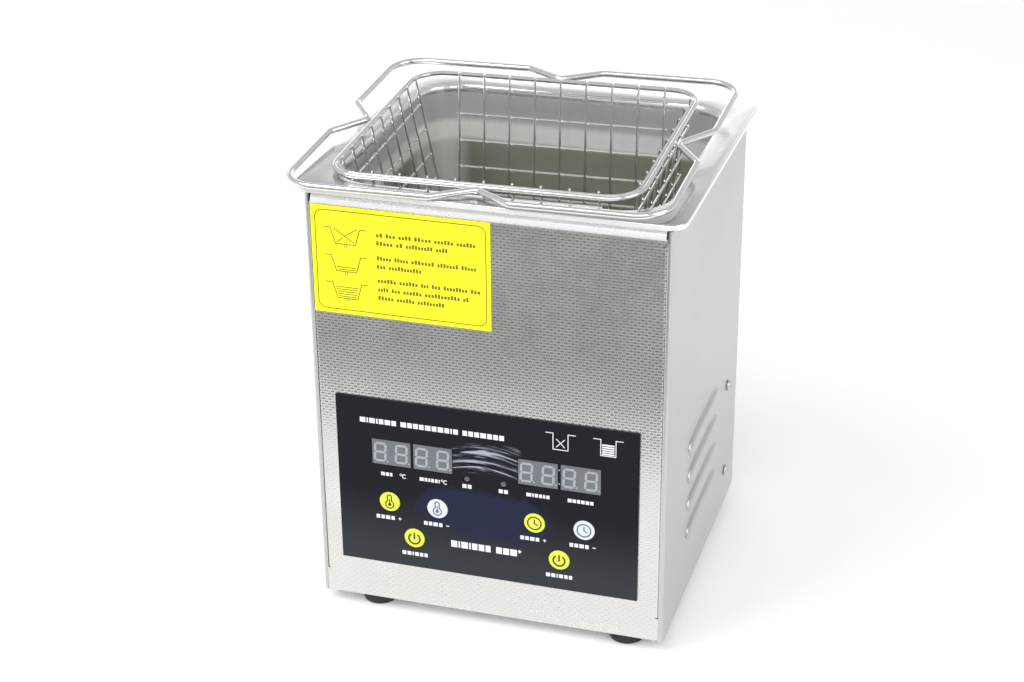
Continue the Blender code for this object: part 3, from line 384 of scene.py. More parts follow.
def overlay_film():
    """The near-black control overlay: a bluish haze low down and a few pale streaks at the top."""
    f = Finish("overlay_film", Specular_IOR_Level=0.16)
    x, _, z = f.axes()
    cloud = f.noise(34.0, 4.0, 0.6, distortion=1.2)
    wide = f.maths("POWER", f.maths("DIVIDE", x, 0.036), 2.0)
    tall = f.maths("POWER", f.maths("DIVIDE", f.minus(z, 0.0635), 0.0155), 2.0)
    reach = f.plus(f.plus(wide, tall), f.times(f.minus(cloud, 0.5), 2.2))
    haze = f.span(reach, 0.45, 1.05, 1.0, 0.0)
    # Painted reflection: the base is painted lighter toward the bottom, as the pale floor mirrored in
    # the film.
    base = f.blend(f.span(z, 0.03, 0.075), (0.03, 0.034, 0.04), (0.004, 0.005, 0.009))
    base = f.blend(f.times(haze, 0.85), base, (0.012, 0.016, 0.05))
    bow = f.times(f.times(x, x), 9.0)
    swept = f.add("ShaderNodeCombineXYZ")
    f.feed(swept.inputs["X"], f.times(x, 30.0))
    f.feed(swept.inputs["Z"], f.times(f.plus(z, bow), 560.0))
    streaks = f.noise(1.0, 6.0, 0.68, swept.outputs[0], 0.9)
    window = f.times(f.span(z, 0.0858, 0.0885), f.span(z, 0.1048, 0.1))
    aside = f.far_from(x, 0.0018)
    window = f.times(window, f.span(aside, 0.0185, 0.0155))
    pale = f.times(window, f.span(streaks, 0.5, 0.66, 0.0, 0.8))
    base = f.blend(pale, base, (0.52, 0.57, 0.68))
    dust = f.noise(420.0, 5.0, 0.75)
    marks = f.noise(1.0, 4.0, 0.7, f.stretched((180.0, 40.0, 50.0)), 0.5)
    base = f.blend(f.span(dust, 0.68, 0.86, 0.0, 0.04), base, (0.35, 0.36, 0.38))
    rough = f.plus(f.span(marks, 0.35, 0.75, 0.1, 0.18), f.span(dust, 0.6, 0.8, 0.0, 0.06))
    peel = f.noise(900.0, 2.0, 0.5)
    return f.surface(base, rough, f.bump(peel, 0.000004, 0.4))


def display_window():
    """The smoked face of a two-digit display module."""
    f = Finish("display_face", Coat_Weight=0.6, Coat_Roughness=0.08)
    _, _, z = f.axes()
    speckle = f.noise(700.0, 3.0, 0.6)
    # Painted shading: the face is painted a touch lighter toward the bottom.
    tilt = f.span(z, 0.083, 0.099)
    base = f.blend(tilt, (0.12, 0.13, 0.14), (0.11, 0.12, 0.13))
    base = f.blend(f.span(speckle, 0.4, 0.8, 0.0, 0.3), base, (0.21, 0.22, 0.23))
    return f.surface(base, f.span(speckle, 0.3, 0.7, 0.32, 0.44), f.bump(speckle, 0.000006, 0.5))


def laminate():
    """Solder-masked board: green mask over tracks and pads."""
    f = Finish("board_laminate", Coat_Weight=0.3, Coat_Roughness=0.2)
    tracks = f.add("ShaderNodeTexBrick", offset=0.37, squash=0.6)
    f.feed(tracks.inputs["Vector"], f.stretched((90.0, 90.0, 140.0)))
    tracks.inputs["Mortar Size"].default_value = 0.09
    weave = f.noise(500.0, 3.0, 0.6)
    base = f.blend(tracks.outputs["Fac"], (0.016, 0.11, 0.045), (0.03, 0.2, 0.085))
    base = f.blend(f.span(weave, 0.35, 0.75, 0.0, 0.3), base, (0.01, 0.07, 0.03))
    rough = f.span(weave, 0.3, 0.7, 0.32, 0.5)
    return f.surface(base, rough, f.bump(tracks.outputs["Fac"], 0.00004, 0.6))


def piezo():
    f = Finish("piezo_ceramic")
    grain = f.noise(260.0, 5.0, 0.65)
    base = f.blend(grain, (0.3, 0.26, 0.21), (0.52, 0.46, 0.37))
    return f.surface(base, f.span(grain, 0.3, 0.7, 0.45, 0.65), f.bump(grain, 0.00003, 0.7))


SATIN = steel("satin_sheet", (0.585, 0.585, 0.58), 0.34, (60.0, 60.0, 2600.0), 0.000003, 0.06)
LEVEL_GRAIN = steel("satin_pan", (0.72, 0.72, 0.72), 0.38, (60.0, 2400.0, 60.0))
BOWL = drawn_tank()
WIRE = steel("wire_steel", (0.86, 0.855, 0.84), 0.17, (500.0, 500.0, 500.0), 0.000002, 0.05)
SEAM = plastic("seam_steel", (0.6, 0.6, 0.6), 0.4)
SCREW = plastic("screw_steel", (0.6, 0.6, 0.59), 0.3, Metallic=0.5)
ZINC = steel("zinc_plate", (0.52, 0.52, 0.5), 0.3, (1200.0, 1200.0, 1200.0), 0.000006, 0.1)
MACHINED = steel("machined_aluminium", (0.8, 0.8, 0.81), 0.36, (400.0, 400.0, 4200.0), 0.000006, 0.08)
EMBOSSED = embossed_steel()
RUBBER = plastic("foot_rubber", (0.022, 0.022, 0.024), 0.72, 700.0, 0.00004, 0.25)
GASKET = plastic("gasket_silicone", (0.33, 0.33, 0.34), 0.6, 500.0, 0.00003)
OVERLAY = overlay_film()
LABEL = printed_film("yellow_film", (0.96, 0.95, 0.004), 0.42, 0.03)
KEY_YELLOW = printed_film("yellow_key_film", (0.76, 0.82, 0.06), 0.4)
KEY_WHITE = printed_film("white_key_film", (0.68, 0.74, 0.84), 0.4)
DISPLAY = display_window()
SEGMENT = plastic("segment_diffuser", (0.34, 0.38, 0.43), 0.5, 900.0, 0.00001, 0.06)
LENS = plastic("lamp_lens", (0.08, 0.085, 0.09), 0.22, 400.0, 0.00001, 0.15, Coat_Weight=0.6)
BOARD = laminate()
NYLON = plastic("white_nylon", (0.78, 0.77, 0.72), 0.48)
PIEZO = piezo()
PAD = plastic("heater_silicone", (0.55, 0.14, 0.035), 0.6, 350.0, 0.00006)
TAPE = plastic("transformer_tape", (0.62, 0.44, 0.06), 0.42, 250.0, 0.00004, 0.1)
SLEEVE = plastic("capacitor_sleeve", (0.02, 0.03, 0.12), 0.3, 200.0, 0.00002, 0.1)
BLACK = plastic("black_moulding", (0.018, 0.018, 0.019), 0.42, 1200.0, 0.00003, 0.2)
GLOSS_BLACK = plastic("rocker_moulding", (0.02, 0.02, 0.021), 0.22, 300.0, 0.000008, 0.2)
PRINT_WHITE = printed_film("white_print", (0.8, 0.83, 0.87), 0.45)
PRINT_DARK = printed_film("dark_print", (0.03, 0.035, 0.02), 0.45)
PRINT_OLIVE = printed_film("olive_print", (0.13, 0.125, 0.012), 0.45)
PRINT_GREY = printed_film("grey_print", (0.12, 0.135, 0.17), 0.45)

CAD_FINISHES = {
    EMBOSSED: ["front_panel"],
    SATIN: ["left_side_panel", "right_side_panel", "rear_panel"],
    LEVEL_GRAIN: ["base_plate"],
    GASKET: ["tank_seal"],
    MACHINED: ["transducer_front_mass", "heatsink"],
    PIEZO: ["upper_piezo_ring", "lower_piezo_ring"],
    ZINC: ["transducer_back_mass", "transducer_bolt", "thermal_cutout"],
    PAD: ["heating_pad"],
    OVERLAY: ["control_overlay"],
    LABEL: ["label_plate"],
    DISPLAY: [n for n in NODES if n.endswith("_display")],
    BOARD: ["control_board", "generator_board"],
    NYLON: [n for n in NODES if "_spacer_" in n],
    TAPE: ["transformer"],
    SLEEVE: ["capacitor"],
    BLACK: ["mains_inlet", "fuse_drawer", "rocker_housing"],
    GLOSS_BLACK: ["rocker"],
}
SOFT_EDGES = {"mains_inlet": 0.0005, "fuse_drawer": 0.0002, "rocker_housing": 0.0004, "rocker": 0.0004}


def dress_cad_nodes():
    """Gives each solid-model node its finish, and joins its facets so that bends shade smoothly."""
    for finish, names in CAD_FINISHES.items():
        for name in names:
            obj = NODES[name]
            obj.data.materials.clear()
            obj.data.materials.append(finish)
            smooth_facets(obj, SOFT_EDGES.get(name))


def smooth_facets(obj, soft_edge=None):
    mesh = obj.data
    custom = mesh.attributes.get("custom_normal")
    if custom:
        mesh.attributes.remove(custom)
    mesh.shade_smooth()
    weld = obj.modifiers.new("Weld", "WELD")
    weld.merge_threshold = 0.00001
    if soft_edge:
        bevel = obj.modifiers.new("Bevel", "BEVEL")
        bevel.width = soft_edge
        bevel.segments = 2
        bevel.limit_method = "ANGLE"
        bevel.angle_limit = radians(40)
    split = obj.modifiers.new("Split", "EDGE_SPLIT")
    split.split_angle = radians(38)
    normals = obj.modifiers.new("Normals", "WEIGHTED_NORMAL")
    normals.weight = 100
    normals.keep_sharp = True


# --- shapes ---
def spread(node):
    """The lowest and highest corner of a node's box, and its middle."""
    low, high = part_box(node)
    return low, high, (low + high) / 2


def centre_of(node):
    return spread(node)[2]


def piece(name, bm, finish, body, replaces=(), smooth=35.0, at=None):
    mesh = bpy.data.meshes.new(name)
    if at:
        bm.transform(at)
    bmesh.ops.recalc_face_normals(bm, faces=bm.faces)
    bm.to_mesh(mesh)
    bm.free()
    if smooth:
        mesh.shade_smooth()
        mesh.set_sharp_from_angle(angle=radians(smooth))
    obj = bpy.data.objects.new(name, mesh)
    link(obj)
    mesh.materials.append(finish)
    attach(obj, body)
    if replaces:
        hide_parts(*replaces)
    return obj


def full_turn(steps):
    return [2 * pi * i / steps for i in range(steps)]


def block(bm, size, at=Matrix()):
    """Adds a box of that size to bm, centred where the matrix says."""
    bmesh.ops.create_cube(bm, size=1.0, matrix=at @ Matrix.Diagonal((*size, 1)))


def loft(bm, rings, closed=False):
    """Skins a chain of equal-length rings into bm."""
    rows = [[bm.verts.new(point) for point in ring] for ring in rings]
    pairs = list(zip(rows[:-1], rows[1:]))
    if closed:
        pairs.append((rows[-1], rows[0]))
    for low, high in pairs:
        for i in range(len(low)):
            j = (i + 1) % len(low)
            bm.faces.new((low[i], low[j], high[j], high[i]))
    if not closed:
        bm.faces.new(list(reversed(rows[0])))
        bm.faces.new(rows[-1])


def turned(profile, steps=40):
    """Turns (radius, z) points about Z into a new bmesh."""
    bm = bmesh.new()
    angles = full_turn(steps)
    loft(bm, [[(r * cos(a), r * sin(a), z) for a in angles] for r, z in profile])
    return bm


def tube(bm, path, radius, normal, closed=False, steps=10):
    """A round wire along a flat path; normal is the normal of the path's plane."""
    points = [Vector(p) for p in path]
    normal = Vector(normal).normalized()
    count = len(points)
    rings = []
    for i, point in enumerate(points):
        before = points[i - 1] if closed or i else point
        after = points[(i + 1) % count] if closed or i < count - 1 else point
        side = (after - before).normalized().cross(normal)
        ring = []
        for angle in full_turn(steps):
            out, up = radius * cos(angle), radius * sin(angle)
            ring.append(point + side * out + normal * up)
        rings.append(ring)
    loft(bm, rings, closed)


def fillet(before, corner, after, radius, steps=6):
    """Points of the arc that rounds a corner between two straight runs, in 2-D or 3-D."""
    here = Vector(corner)
    back = (Vector(before) - here).normalized()
    ahead = (Vector(after) - here).normalized()
    half = back.angle(ahead) / 2
    reach = radius / tan(half)
    centre = here + (back + ahead).normalized() * (radius / sin(half))
    start = here + back * reach - centre
    end = here + ahead * reach - centre
    points = []
    for i in range(steps + 1):
        t = i / steps
        sweep = pi - 2 * half
        a = sin((1 - t) * sweep) / sin(sweep)
        b = sin(t * sweep) / sin(sweep)
        points.append(centre + start * a + end * b)
    return points


def rounded_rectangle(half_x, half_y, corner, steps=12):
    points = []
    for quarter, (sx, sy) in enumerate(((1, 1), (-1, 1), (-1, -1), (1, -1))):
        for i in range(steps + 1):
            angle = pi / 2 * (quarter + i / steps)
            x = sx * (half_x - corner) + corner * cos(angle)
            y = sy * (half_y - corner) + corner * sin(angle)
            points.append((x, y))
    return points


# --- the tank ---
def tank():
    _, high, middle = spread("tank")
    top = high.z

    def ring(half, corner, shrink, z):
        outline = rounded_rectangle(half[0] - shrink, half[1] - shrink, corner - shrink)
        return [(x + middle.x, y + middle.y, z) for x, y in outline]

    wall_half = tuple(side - RIM_BEND for side in OPENING_HALF)
    floor_half = tuple(side - WALL_TAPER for side in wall_half)
    floor_corner = OPENING_CORNER - RIM_BEND - WALL_TAPER
    floor_top = top - TANK_DEPTH + FLOOR_BEND

    def skin(depth):
        rings = [ring(FLANGE_HALF, FLANGE_CORNER, depth, top - LIP_HEIGHT)]
        for i in range(6):
            angle = pi / 2 * i / 5
            inset = LIP_BEND - (LIP_BEND - depth) * cos(angle)
            z = top - LIP_BEND + (LIP_BEND - depth) * sin(angle)
            rings.append(ring(FLANGE_HALF, FLANGE_CORNER, inset, z))
        for i in range(8):
            angle = pi / 2 * i / 7
            inset = (RIM_BEND - depth) * sin(angle)
            z = top - RIM_BEND + (RIM_BEND - depth) * cos(angle)
            rings.append(ring(OPENING_HALF, OPENING_CORNER, inset, z))
        for i in range(10):
            angle = pi / 2 * i / 9
            inset = FLOOR_BEND - (FLOOR_BEND + depth) * cos(angle)
            z = floor_top - (FLOOR_BEND + depth) * sin(angle)
            rings.append(ring(floor_half, floor_corner, inset, z))
        return rings

    bm = bmesh.new()
    loft(bm, list(reversed(skin(0.0))) + skin(TANK_SHEET))
    piece("tank_bowl", bm, BOWL, "case", ["tank"], smooth=50)


# --- the basket ---
def kinked_path():
    """The support frame: a round-cornered rectangle pulled in to the rim at the middle of each side."""
    beside_rim = RIM_WIRE + FRAME_WIRE + 0.0001
    across = (FRAME_HALF[0], RIM_HALF[0] + beside_rim)
    endways = (FRAME_HALF[1], RIM_HALF[1] + beside_rim)
    sides = ((1, 0, *across), (0, 1, *endways), (-1, 0, *across), (0, -1, *endways))
    corner_steps = 12
    corners = rounded_rectangle(*FRAME_HALF, FRAME_CORNER, corner_steps)
    path = []
    for quarter, (nx, ny, outer, apex) in enumerate(sides):
        points = [(outer, -KINK_HALF_WIDTH), (apex, 0.0), (outer, KINK_HALF_WIDTH)]
        around = [(outer, -2 * KINK_HALF_WIDTH), *points, (outer, 2 * KINK_HALF_WIDTH)]
        for i in range(1, 4):
            for out, along in fillet(around[i - 1], around[i], around[i + 1], KINK_ROUND):
                path.append((nx * out - ny * along, ny * out + nx * along, 0.0))
        first = quarter * (corner_steps + 1)
        path += [(x, y, 0.0) for x, y in corners[first : first + corner_steps + 1]]
    return path


def weld_beads(bm):
    """Small flattened beads where the frame's kinks are welded to the rim."""
    thin, long, flat = 0.0012, 0.0028, 0.0009
    for nx, ny in ((1, 0), (0, 1), (-1, 0), (0, -1)):
        out = RIM_HALF[abs(ny)] + RIM_WIRE
        size = (thin if nx else long, thin if ny else long, flat, 1)
        place = Matrix.Translation((nx * out, ny * out, 0)) @ Matrix.Diagonal(size)
        bmesh.ops.create_icosphere(bm, subdivisions=2, radius=1.0, matrix=place)


def basket():
    frame_bm = bmesh.new()
    tube(frame_bm, kinked_path(), FRAME_WIRE, (0, 0, 1), closed=True, steps=16)
    weld_beads(frame_bm)
    piece("basket_support", frame_bm, WIRE, "basket", ["basket_frame"], at=BASKET)
    rim_bm = bmesh.new()
    outline = rounded_rectangle(*RIM_HALF, RIM_CORNER, 12)
    tube(rim_bm, [(x, y, 0) for x, y in outline], RIM_WIRE, (0, 0, 1), closed=True, steps=16)
    inset = RIM_WIRE + MESH_WIRE - WELD_SUNK
    inner = rounded_rectangle(RIM_HALF[0] - inset, RIM_HALF[1] - inset, RIM_CORNER - inset, 12)
    tube(rim_bm, [(x, y, 0.0007) for x, y in inner], MESH_WIRE, (0, 0, 1), closed=True, steps=10)
    piece("basket_rim_wires", rim_bm, WIRE, "basket", ["basket_rim"], at=BASKET)
    basket_mesh()


def basket_mesh():
    """Bent wires that run down one wall, over the floor and up the other, crossed by straight rungs."""
    long_parts = ["basket_back_wall", "basket_front_wall", "basket_floor"]
    cross_parts = ["basket_left_wall", "basket_right_wall"]
    # Local X of the cross wires is the row's Y, so that the wires keep their places.
    crossed = Matrix.Rotation(pi / 2, 4, "Z") @ Matrix.Scale(-1, 4, (0, 1, 0))
    lift = 2 * MESH_WIRE
    wire_set("basket_long_wires", WIDE_WIRES, WIDE_RUNGS, RIM_HALF[1], Matrix(), 0.0, long_parts)
    wire_set("basket_cross_wires", NARROW_WIRES, NARROW_RUNGS, RIM_HALF[0], crossed, lift, cross_parts)


def wire_set(name, wires, rungs, reach, heading, lift, replaced):
    bm = bmesh.new()
    sine, cosine = sin(MESH_LEAN), cos(MESH_LEAN)
    bottom = lift - MESH_DEPTH * cosine
    top = reach - RIM_WIRE - 3 * MESH_WIRE
    foot = top - MESH_DEPTH * sine
    for x in wires:
        crown = (x, top + MESH_PEEK * sine, MESH_PEEK * cosine)
        knee = (x, foot, bottom)
        other_knee = (x, -foot, bottom)
        other_crown = (x, -top - MESH_PEEK * sine, MESH_PEEK * cosine)
        path = [crown]
        path += fillet(crown, knee, other_knee, MESH_BEND)
        path += fillet(knee, other_knee, other_crown, MESH_BEND)
        path.append(other_crown)
        tube(bm, path, MESH_WIRE, (1, 0, 0), steps=8)
    ends = (wires[0] - RUNG_END, wires[-1] + RUNG_END)
    for depth in rungs:
        out = top - depth * sine + 2 * MESH_WIRE - WELD_SUNK
        for side in (-1, 1):
            path = [(end, side * out, -depth * cosine) for end in ends]
            tube(bm, path, MESH_WIRE, (0, 0, 1), steps=8)
    piece(name, bm, WIRE, "basket", replaced, at=BASKET @ heading)


# --- prints and displays ---
class Print:
    """Flat ink shapes on a face that looks toward -Y, each a slab a few hundredths of a mm thick."""

    def __init__(self, face_y):
        self.bm = bmesh.new()
        self.front = face_y - PRINT_PROUD
        self.back = face_y - PRINT_SUNK

    def area(self, points):
        near = [self.bm.verts.new((x, self.front, z)) for x, z in points]
        far = [self.bm.verts.new((x, self.back, z)) for x, z in points]
        self.bm.faces.new(near)
        self.bm.faces.new(list(reversed(far)))
        for i in range(len(points)):
            j = (i + 1) % len(points)
            self.bm.faces.new((near[j], near[i], far[i], far[j]))

    def bar(self, x, z, width, height):
        half, tall = width / 2, height / 2
        signs = ((-1, -1), (1, -1), (1, 1), (-1, 1))
        self.area([(x + sx * half, z + sz * tall) for sx, sz in signs])

    def line(self, points, width, closed=False):
        """A stroke with mitred corners."""
        path = [Vector(p) for p in points]
        count = len(path)
        left, right = [], []
        for i, here in enumerate(path):
            before = path[i - 1] if closed or i else None
            after = path[(i + 1) % count] if closed or i < count - 1 else None
            first = (here - before).normalized() if before else (after - here).normalized()
            second = (after - here).normalized() if after else first
            along = (first + second).normalized()
            side = Vector((-along.y, along.x)) * (width / 2 / max(0.4, along.dot(first)))
            left.append(here + side)
            right.append(here - side)
        last = count if closed else count - 1
        for i in range(last):
            j = (i + 1) % count
            self.area([right[i], right[j], left[j], left[i]])

    def arc(self, x, z, radius, width, start=0.0, sweep=360.0, steps=28):
        closed = sweep >= 360.0
        count = steps if closed else steps + 1
        points = []
        for i in range(count):
            angle = radians(start + sweep * i / steps)
            points.append((x + radius * cos(angle), z + radius * sin(angle)))
        self.line(points, width, closed)

    def disc(self, x, z, radius, steps=20):
        turn = full_turn(steps)
        self.area([(x + radius * cos(a), z + radius * sin(a)) for a in turn])

    def plus(self, x, z, size, width, minus=False):
        self.bar(x, z, size, width)
        if not minus:
            self.bar(x, z + (size + width) / 4, width, (size - width) / 2)
            self.bar(x, z - (size + width) / 4, width, (size - width) / 2)

    def blocks(self, x, z, widths, height, gap=BLOCK_GAP):
        """A centred row of plain blocks that stands in for a word."""
        total = sum(widths) + gap * (len(widths) - 1)
        left = x - total / 2
        for width in widths:
            self.bar(left + width / 2, z, width, height)
            left += width + gap

    def done(self, name, finish, body):
        return piece(name, self.bm, finish, body, smooth=None)


OVERLAY_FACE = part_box("control_overlay")[0].y
DISPLAY_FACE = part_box("minute_display")[0].y
LABEL_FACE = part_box("label_plate")[0].y
DISPLAYS = ("set_temperature_display", "actual_temperature_display", "minute_display", "second_display")


def digit_segments(ink, x, z, width, height, thick):
    """The seven bevelled segments of one figure eight, and its point."""
    gap = 0.00012
    half = thick / 2
    lean = 0.05

    def segment(start, end, level, upright):
        """A long hexagon along X, or along Z if upright, pointed at both ends."""
        a, b = start + gap, end - gap
        c, d = a + half, b - half
        shape = [(a, 0), (c, -half), (d, -half), (b, 0), (d, half), (c, half)]
        if upright:
            shape = [(level - out, along) for along, out in shape]
        else:
            shape = [(along, level + out) for along, out in shape]
        ink.area([(px + (pz - z) * lean, pz) for px, pz in shape])

    left, right = x - width / 2, x + width / 2
    bottom, top = z - height / 2, z + height / 2
    for level in (bottom, z, top):
        segment(left, right, level, False)
    for side in (left, right):
        for low, high in ((bottom, z), (z, top)):
            segment(low, high, side, True)
    ink.disc(right + 0.0013 - height * lean / 2, bottom, 0.0005, 12)


def displays():
    for name in DISPLAYS:
        low, high, middle = spread(name)
        width = high.x - low.x
        ink = Print(DISPLAY_FACE)
        for offset in (-0.275, 0.275):
            digit_segments(ink, middle.x + offset * width - 0.0003, middle.z, 0.0054, 0.0095, 0.0012)
        ink.done(name + "_segments", SEGMENT, "case")
    gap_x = (centre_of("minute_display").x + centre_of("second_display").x) / 2
    colon = Print(OVERLAY_FACE)
    middle_z = centre_of("minute_display").z
    for offset in (-0.0037, 0.0037):
        colon.disc(gap_x, middle_z + offset, 0.00042, 12)
    colon.done("time_colon", SEGMENT, "case")


KEY_ICONS = {
    "temperature_up_key": "thermometer",
    "temperature_down_key": "thermometer",
    "heater_power_key": "power",
    "time_up_key": "clock",
    "time_down_key": "clock",
    "ultrasonic_power_key": "power",
}


def keys():
    for name, icon in KEY_ICONS.items():
        low, high, middle = spread(name)
        radius = (high.x - low.x) / 2
        face = low.y
        depth = high.y - low.y
        crown, cap, stem = 0.00006, 0.002, 0.002
        profile = [(0.0018, 0.0), (0.0034, -0.00001), (radius - 0.0006, -crown / 2)]
        profile += [(radius - 0.0002, -crown), (radius, -0.0003), (radius, -cap)]
        profile += [(stem, -cap), (stem, -depth)]
        bm = turned(profile, 48)
        turn = Matrix.Translation((middle.x, face, middle.z)) @ FACE_FRONT
        white = "down" in name
        body = name + "_body"
        film, slot = (KEY_WHITE, "white_key") if white else (KEY_YELLOW, "yellow_key")
        piece(name + "_cap", bm, film, body, [name], at=turn)
        ink = Print(face)
        draw_icon(ink, icon, middle.x, middle.z)
        ink.done(name + "_icon", PRINT_GREY if white else PRINT_DARK, body)


def draw_icon(ink, icon, x, z):
    if icon == "power":
        ink.arc(x, z - 0.0002, 0.0029, 0.00085, 125, 290, 26)
        ink.bar(x, z + 0.0012, 0.00085, 0.0036)
    elif icon == "clock":
        ink.arc(x, z, 0.0034, 0.00066)
        ink.line([(x, z + 0.0022), (x, z), (x + 0.0017, z - 0.0011)], 0.00064)
    else:
        bulb_z = z - 0.0014
        neck = 0.00105
        ink.arc(x, bulb_z, 0.0021, 0.0006, 120, 300, 24)
        for side in (-1, 1):
            ink.bar(x + side * neck, z + 0.0016, 0.0006, 0.0027)
        ink.arc(x, z + 0.0029, neck, 0.0006, 0, 180, 10)
        ink.disc(x, bulb_z, 0.0009, 16)
        ink.bar(x, z + 0.0004, 0.0005, 0.0024)


def legends():
    """Plain blocks in place of the printed words, with only the signs +, - and the degree mark."""
    ink = Print(OVERLAY_FACE)
    key_tall, display_tall, title_tall, name_tall = 0.0021, 0.0019, 0.0027, 0.0036
    for name in KEY_ICONS:
        spot = centre_of(name)
        z = spot.z - BELOW_KEY
        if name.endswith("power_key"):
            word = (0.0021, 0.002, 0.0007, 0.0021, 0.0017, 0.0017)
            ink.blocks(spot.x, z, word, key_tall)
        else:
            word = (0.0019, 0.0018, 0.0023, 0.0018)
            ink.blocks(spot.x - 0.0024, z, word, key_tall)
            ink.plus(spot.x + 0.0051, z, 0.0016, 0.00045, "down" in name)
    words = {
        "set_temperature_display": (0.002, 0.0017, 0.0012),
        "actual_temperature_display": (0.0021, 0.0014, 0.001, 0.0014, 0.0014, 0.0006),
        "minute_display": (0.0025, 0.0007, 0.0016, 0.0016, 0.0011, 0.0016),
        "second_display": (0.0019, 0.0017, 0.0016, 0.0017, 0.0017, 0.0017),
    }
    for name, widths in words.items():
        spot = centre_of(name)
        z = spot.z - BELOW_DISPLAY
        shift = 0.0
        if "temperature" in name:
            shift = 0.0028 if name.startswith("set") else 0.0018
            ink.arc(spot.x + 0.0046, z + 0.0007, 0.0005, 0.00028, steps=14)
            ink.arc(spot.x + 0.0064, z, 0.001, 0.00045, 50, 260, 14)
        ink.blocks(spot.x - shift, z, widths, display_tall, 0.0005)
    for name in LAMPS:
        spot = centre_of(name)
        ink.blocks(spot.x, spot.z - BELOW_LAMP, (0.0021, 0.0019), key_tall)
    tank_icon(ink, 0.0393, 0.1103, "cross")
    tank_icon(ink, 0.0627, 0.1104, "full")
    narrow, middling, broad = 0.0008, 0.0024, 0.0029
    title = (
        (broad, narrow, broad, narrow, middling, broad, middling),
        (broad, middling, middling, middling, broad, middling, broad, middling, narrow, middling),
        (middling, middling, middling, broad, middling, middling, middling),
    )
    left = centre_of("set_temperature_display").x - 0.0157
    for word in title:
        length = sum(word) + BLOCK_GAP * (len(word) - 1)
        ink.blocks(left + length / 2, TITLE_Z, word, title_tall)
        left += length + 0.0023
    first_word = (0.0032, 0.0009, 0.0034, 0.0009, 0.0028, 0.003, 0.0026)
    ink.blocks(-0.0065, SECOND_LINE_Z, first_word, name_tall)
    ink.blocks(0.0119, SECOND_LINE_Z, (0.003, 0.0031, 0.0034), name_tall)
    ink.plus(0.0186, SECOND_LINE_Z + 0.0011, 0.0018, 0.0006)
    ink.done("overlay_legends", PRINT_WHITE, "case")


def tank_icon(ink, x, z, fill):
    """A small outline of a tank with a flange, and what is in it."""
    half, tall, lip = 0.0037, 0.0043, 0.0037
    rim = z + tall
    wall = [(x - half - lip, rim), (x - half, rim), (x - half, z - tall)]
    ink.line(wall + [(2 * x - px, pz) for px, pz in reversed(wall)], ICON_LINE)
    if fill == "cross":
        ink.line([(x - 0.0021, z + 0.0014), (x + 0.0021, z - 0.003)], ICON_LINE)
        ink.line([(x - 0.0021, z - 0.003), (x - 0.0002, z - 0.001)], ICON_LINE)
        ink.line([(x + 0.0002, z - 0.0006), (x + 0.0021, z + 0.0014)], ICON_LINE)
    else:
        for i in range(5):
            ink.bar(x, z - 0.0034 + i * 0.0012, 0.006, 0.0008)


def label_print():
    """A rounded border line, three plain tank symbols and blocks in place of the words."""
    low, high, middle = spread("label_plate")
    half_x, half_z = (high.x - low.x) / 2, (high.z - low.z) / 2
    ink = Print(LABEL_FACE)
    edge = 0.0022
    outline = rounded_rectangle(half_x - edge, half_z - edge, 0.004, 8)
    ink.line([(middle.x + x, middle.z + z) for x, z in outline], ICON_LINE, closed=True)
    left = middle.x - 0.0271
    for row, z in enumerate((0.2036, 0.1896, 0.1757)):
        sloped_tank(ink, left, z, row)
    start = middle.x - 0.0117
    lines = (
        (0.2058, (0.0035, 0.005, 0.0065, 0.0085, 0.0095, 0.0095)),
        (0.2017, (0.0085, 0.0035, 0.0135, 0.006)),
        (0.1941, (0.0075, 0.007, 0.0115, 0.0105, 0.0075)),
        (0.1898, (0.0045, 0.0165)),
        (0.1827, (0.0095, 0.0095, 0.004, 0.0045, 0.012, 0.005)),
        (0.1781, (0.0055, 0.0045, 0.0095, 0.0175, 0.003)),
        (0.1738, (0.008, 0.009, 0.0135)),
    )
    for z, words in lines:
        x = start
        for width in words:
            letters(ink, x, z, width)
            x += width + 0.0013
    ink.done("label_marks", PRINT_OLIVE, "case")


def letters(ink, x, z, width):
    """One stand-in word: narrow blocks of uneven height, which spell nothing."""
    letter_pitch, low_letter = 0.00155, 0.0015
    count = max(2, round(width / letter_pitch))
    pitch = width / count
    heights = (0.0021, low_letter, low_letter, 0.002, low_letter)
    for i in range(count):
        height = heights[(i * 3 + count) % len(heights)]
        ink.bar(x + (i + 0.4) * pitch, z + (height - low_letter) / 2, pitch * 0.66, height)


def sloped_tank(ink, x, z, row):
    """A tank with leaning walls and a drain: crossed out, nearly empty or full."""
    top, bottom = z + 0.004, z - 0.004
    rim = [(x - 0.0105, top), (x - 0.0074, top), (x - 0.005, bottom)]
    ink.line(rim + [(2 * x - px, pz) for px, pz in reversed(rim)], ICON_LINE)
    for side in (-0.0005, 0.0005):
        ink.bar(x + side, bottom - 0.0009, 0.0003, 0.0018)
    if row == 0:
        ink.line([(x - 0.006, top), (x + 0.0044, bottom + 0.0008)], ICON_LINE)
        ink.line([(x - 0.0044, bottom + 0.0008), (x - 0.0012, z - 0.0009)], ICON_LINE)
        ink.line([(x - 0.0006, z), (x + 0.006, top)], ICON_LINE)
    else:
        for i in range(2 if row == 1 else 5):
            level = bottom + 0.001 + i * 0.0012
            reach = 0.0045 + i * 0.00036
            ink.bar(x, level, 2 * reach, 0.00035)


# --- small fittings ---
def seams():
    """The folded tabs that show in the narrow seams between the front sheet and the side sheets."""
    low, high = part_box("front_panel")
    for name, x in (("left", low.x - 0.00015), ("right", high.x + 0.00015)):
        bm = bmesh.new()
        size = (0.0005, 0.0006, high.z - low.z - 0.0065)
        spot = Matrix.Translation((x, low.y + 0.0005, (low.z + high.z) / 2 - 0.003))
        block(bm, size, spot)
        piece(f"{name}_seam_tab", bm, SEAM, "case")


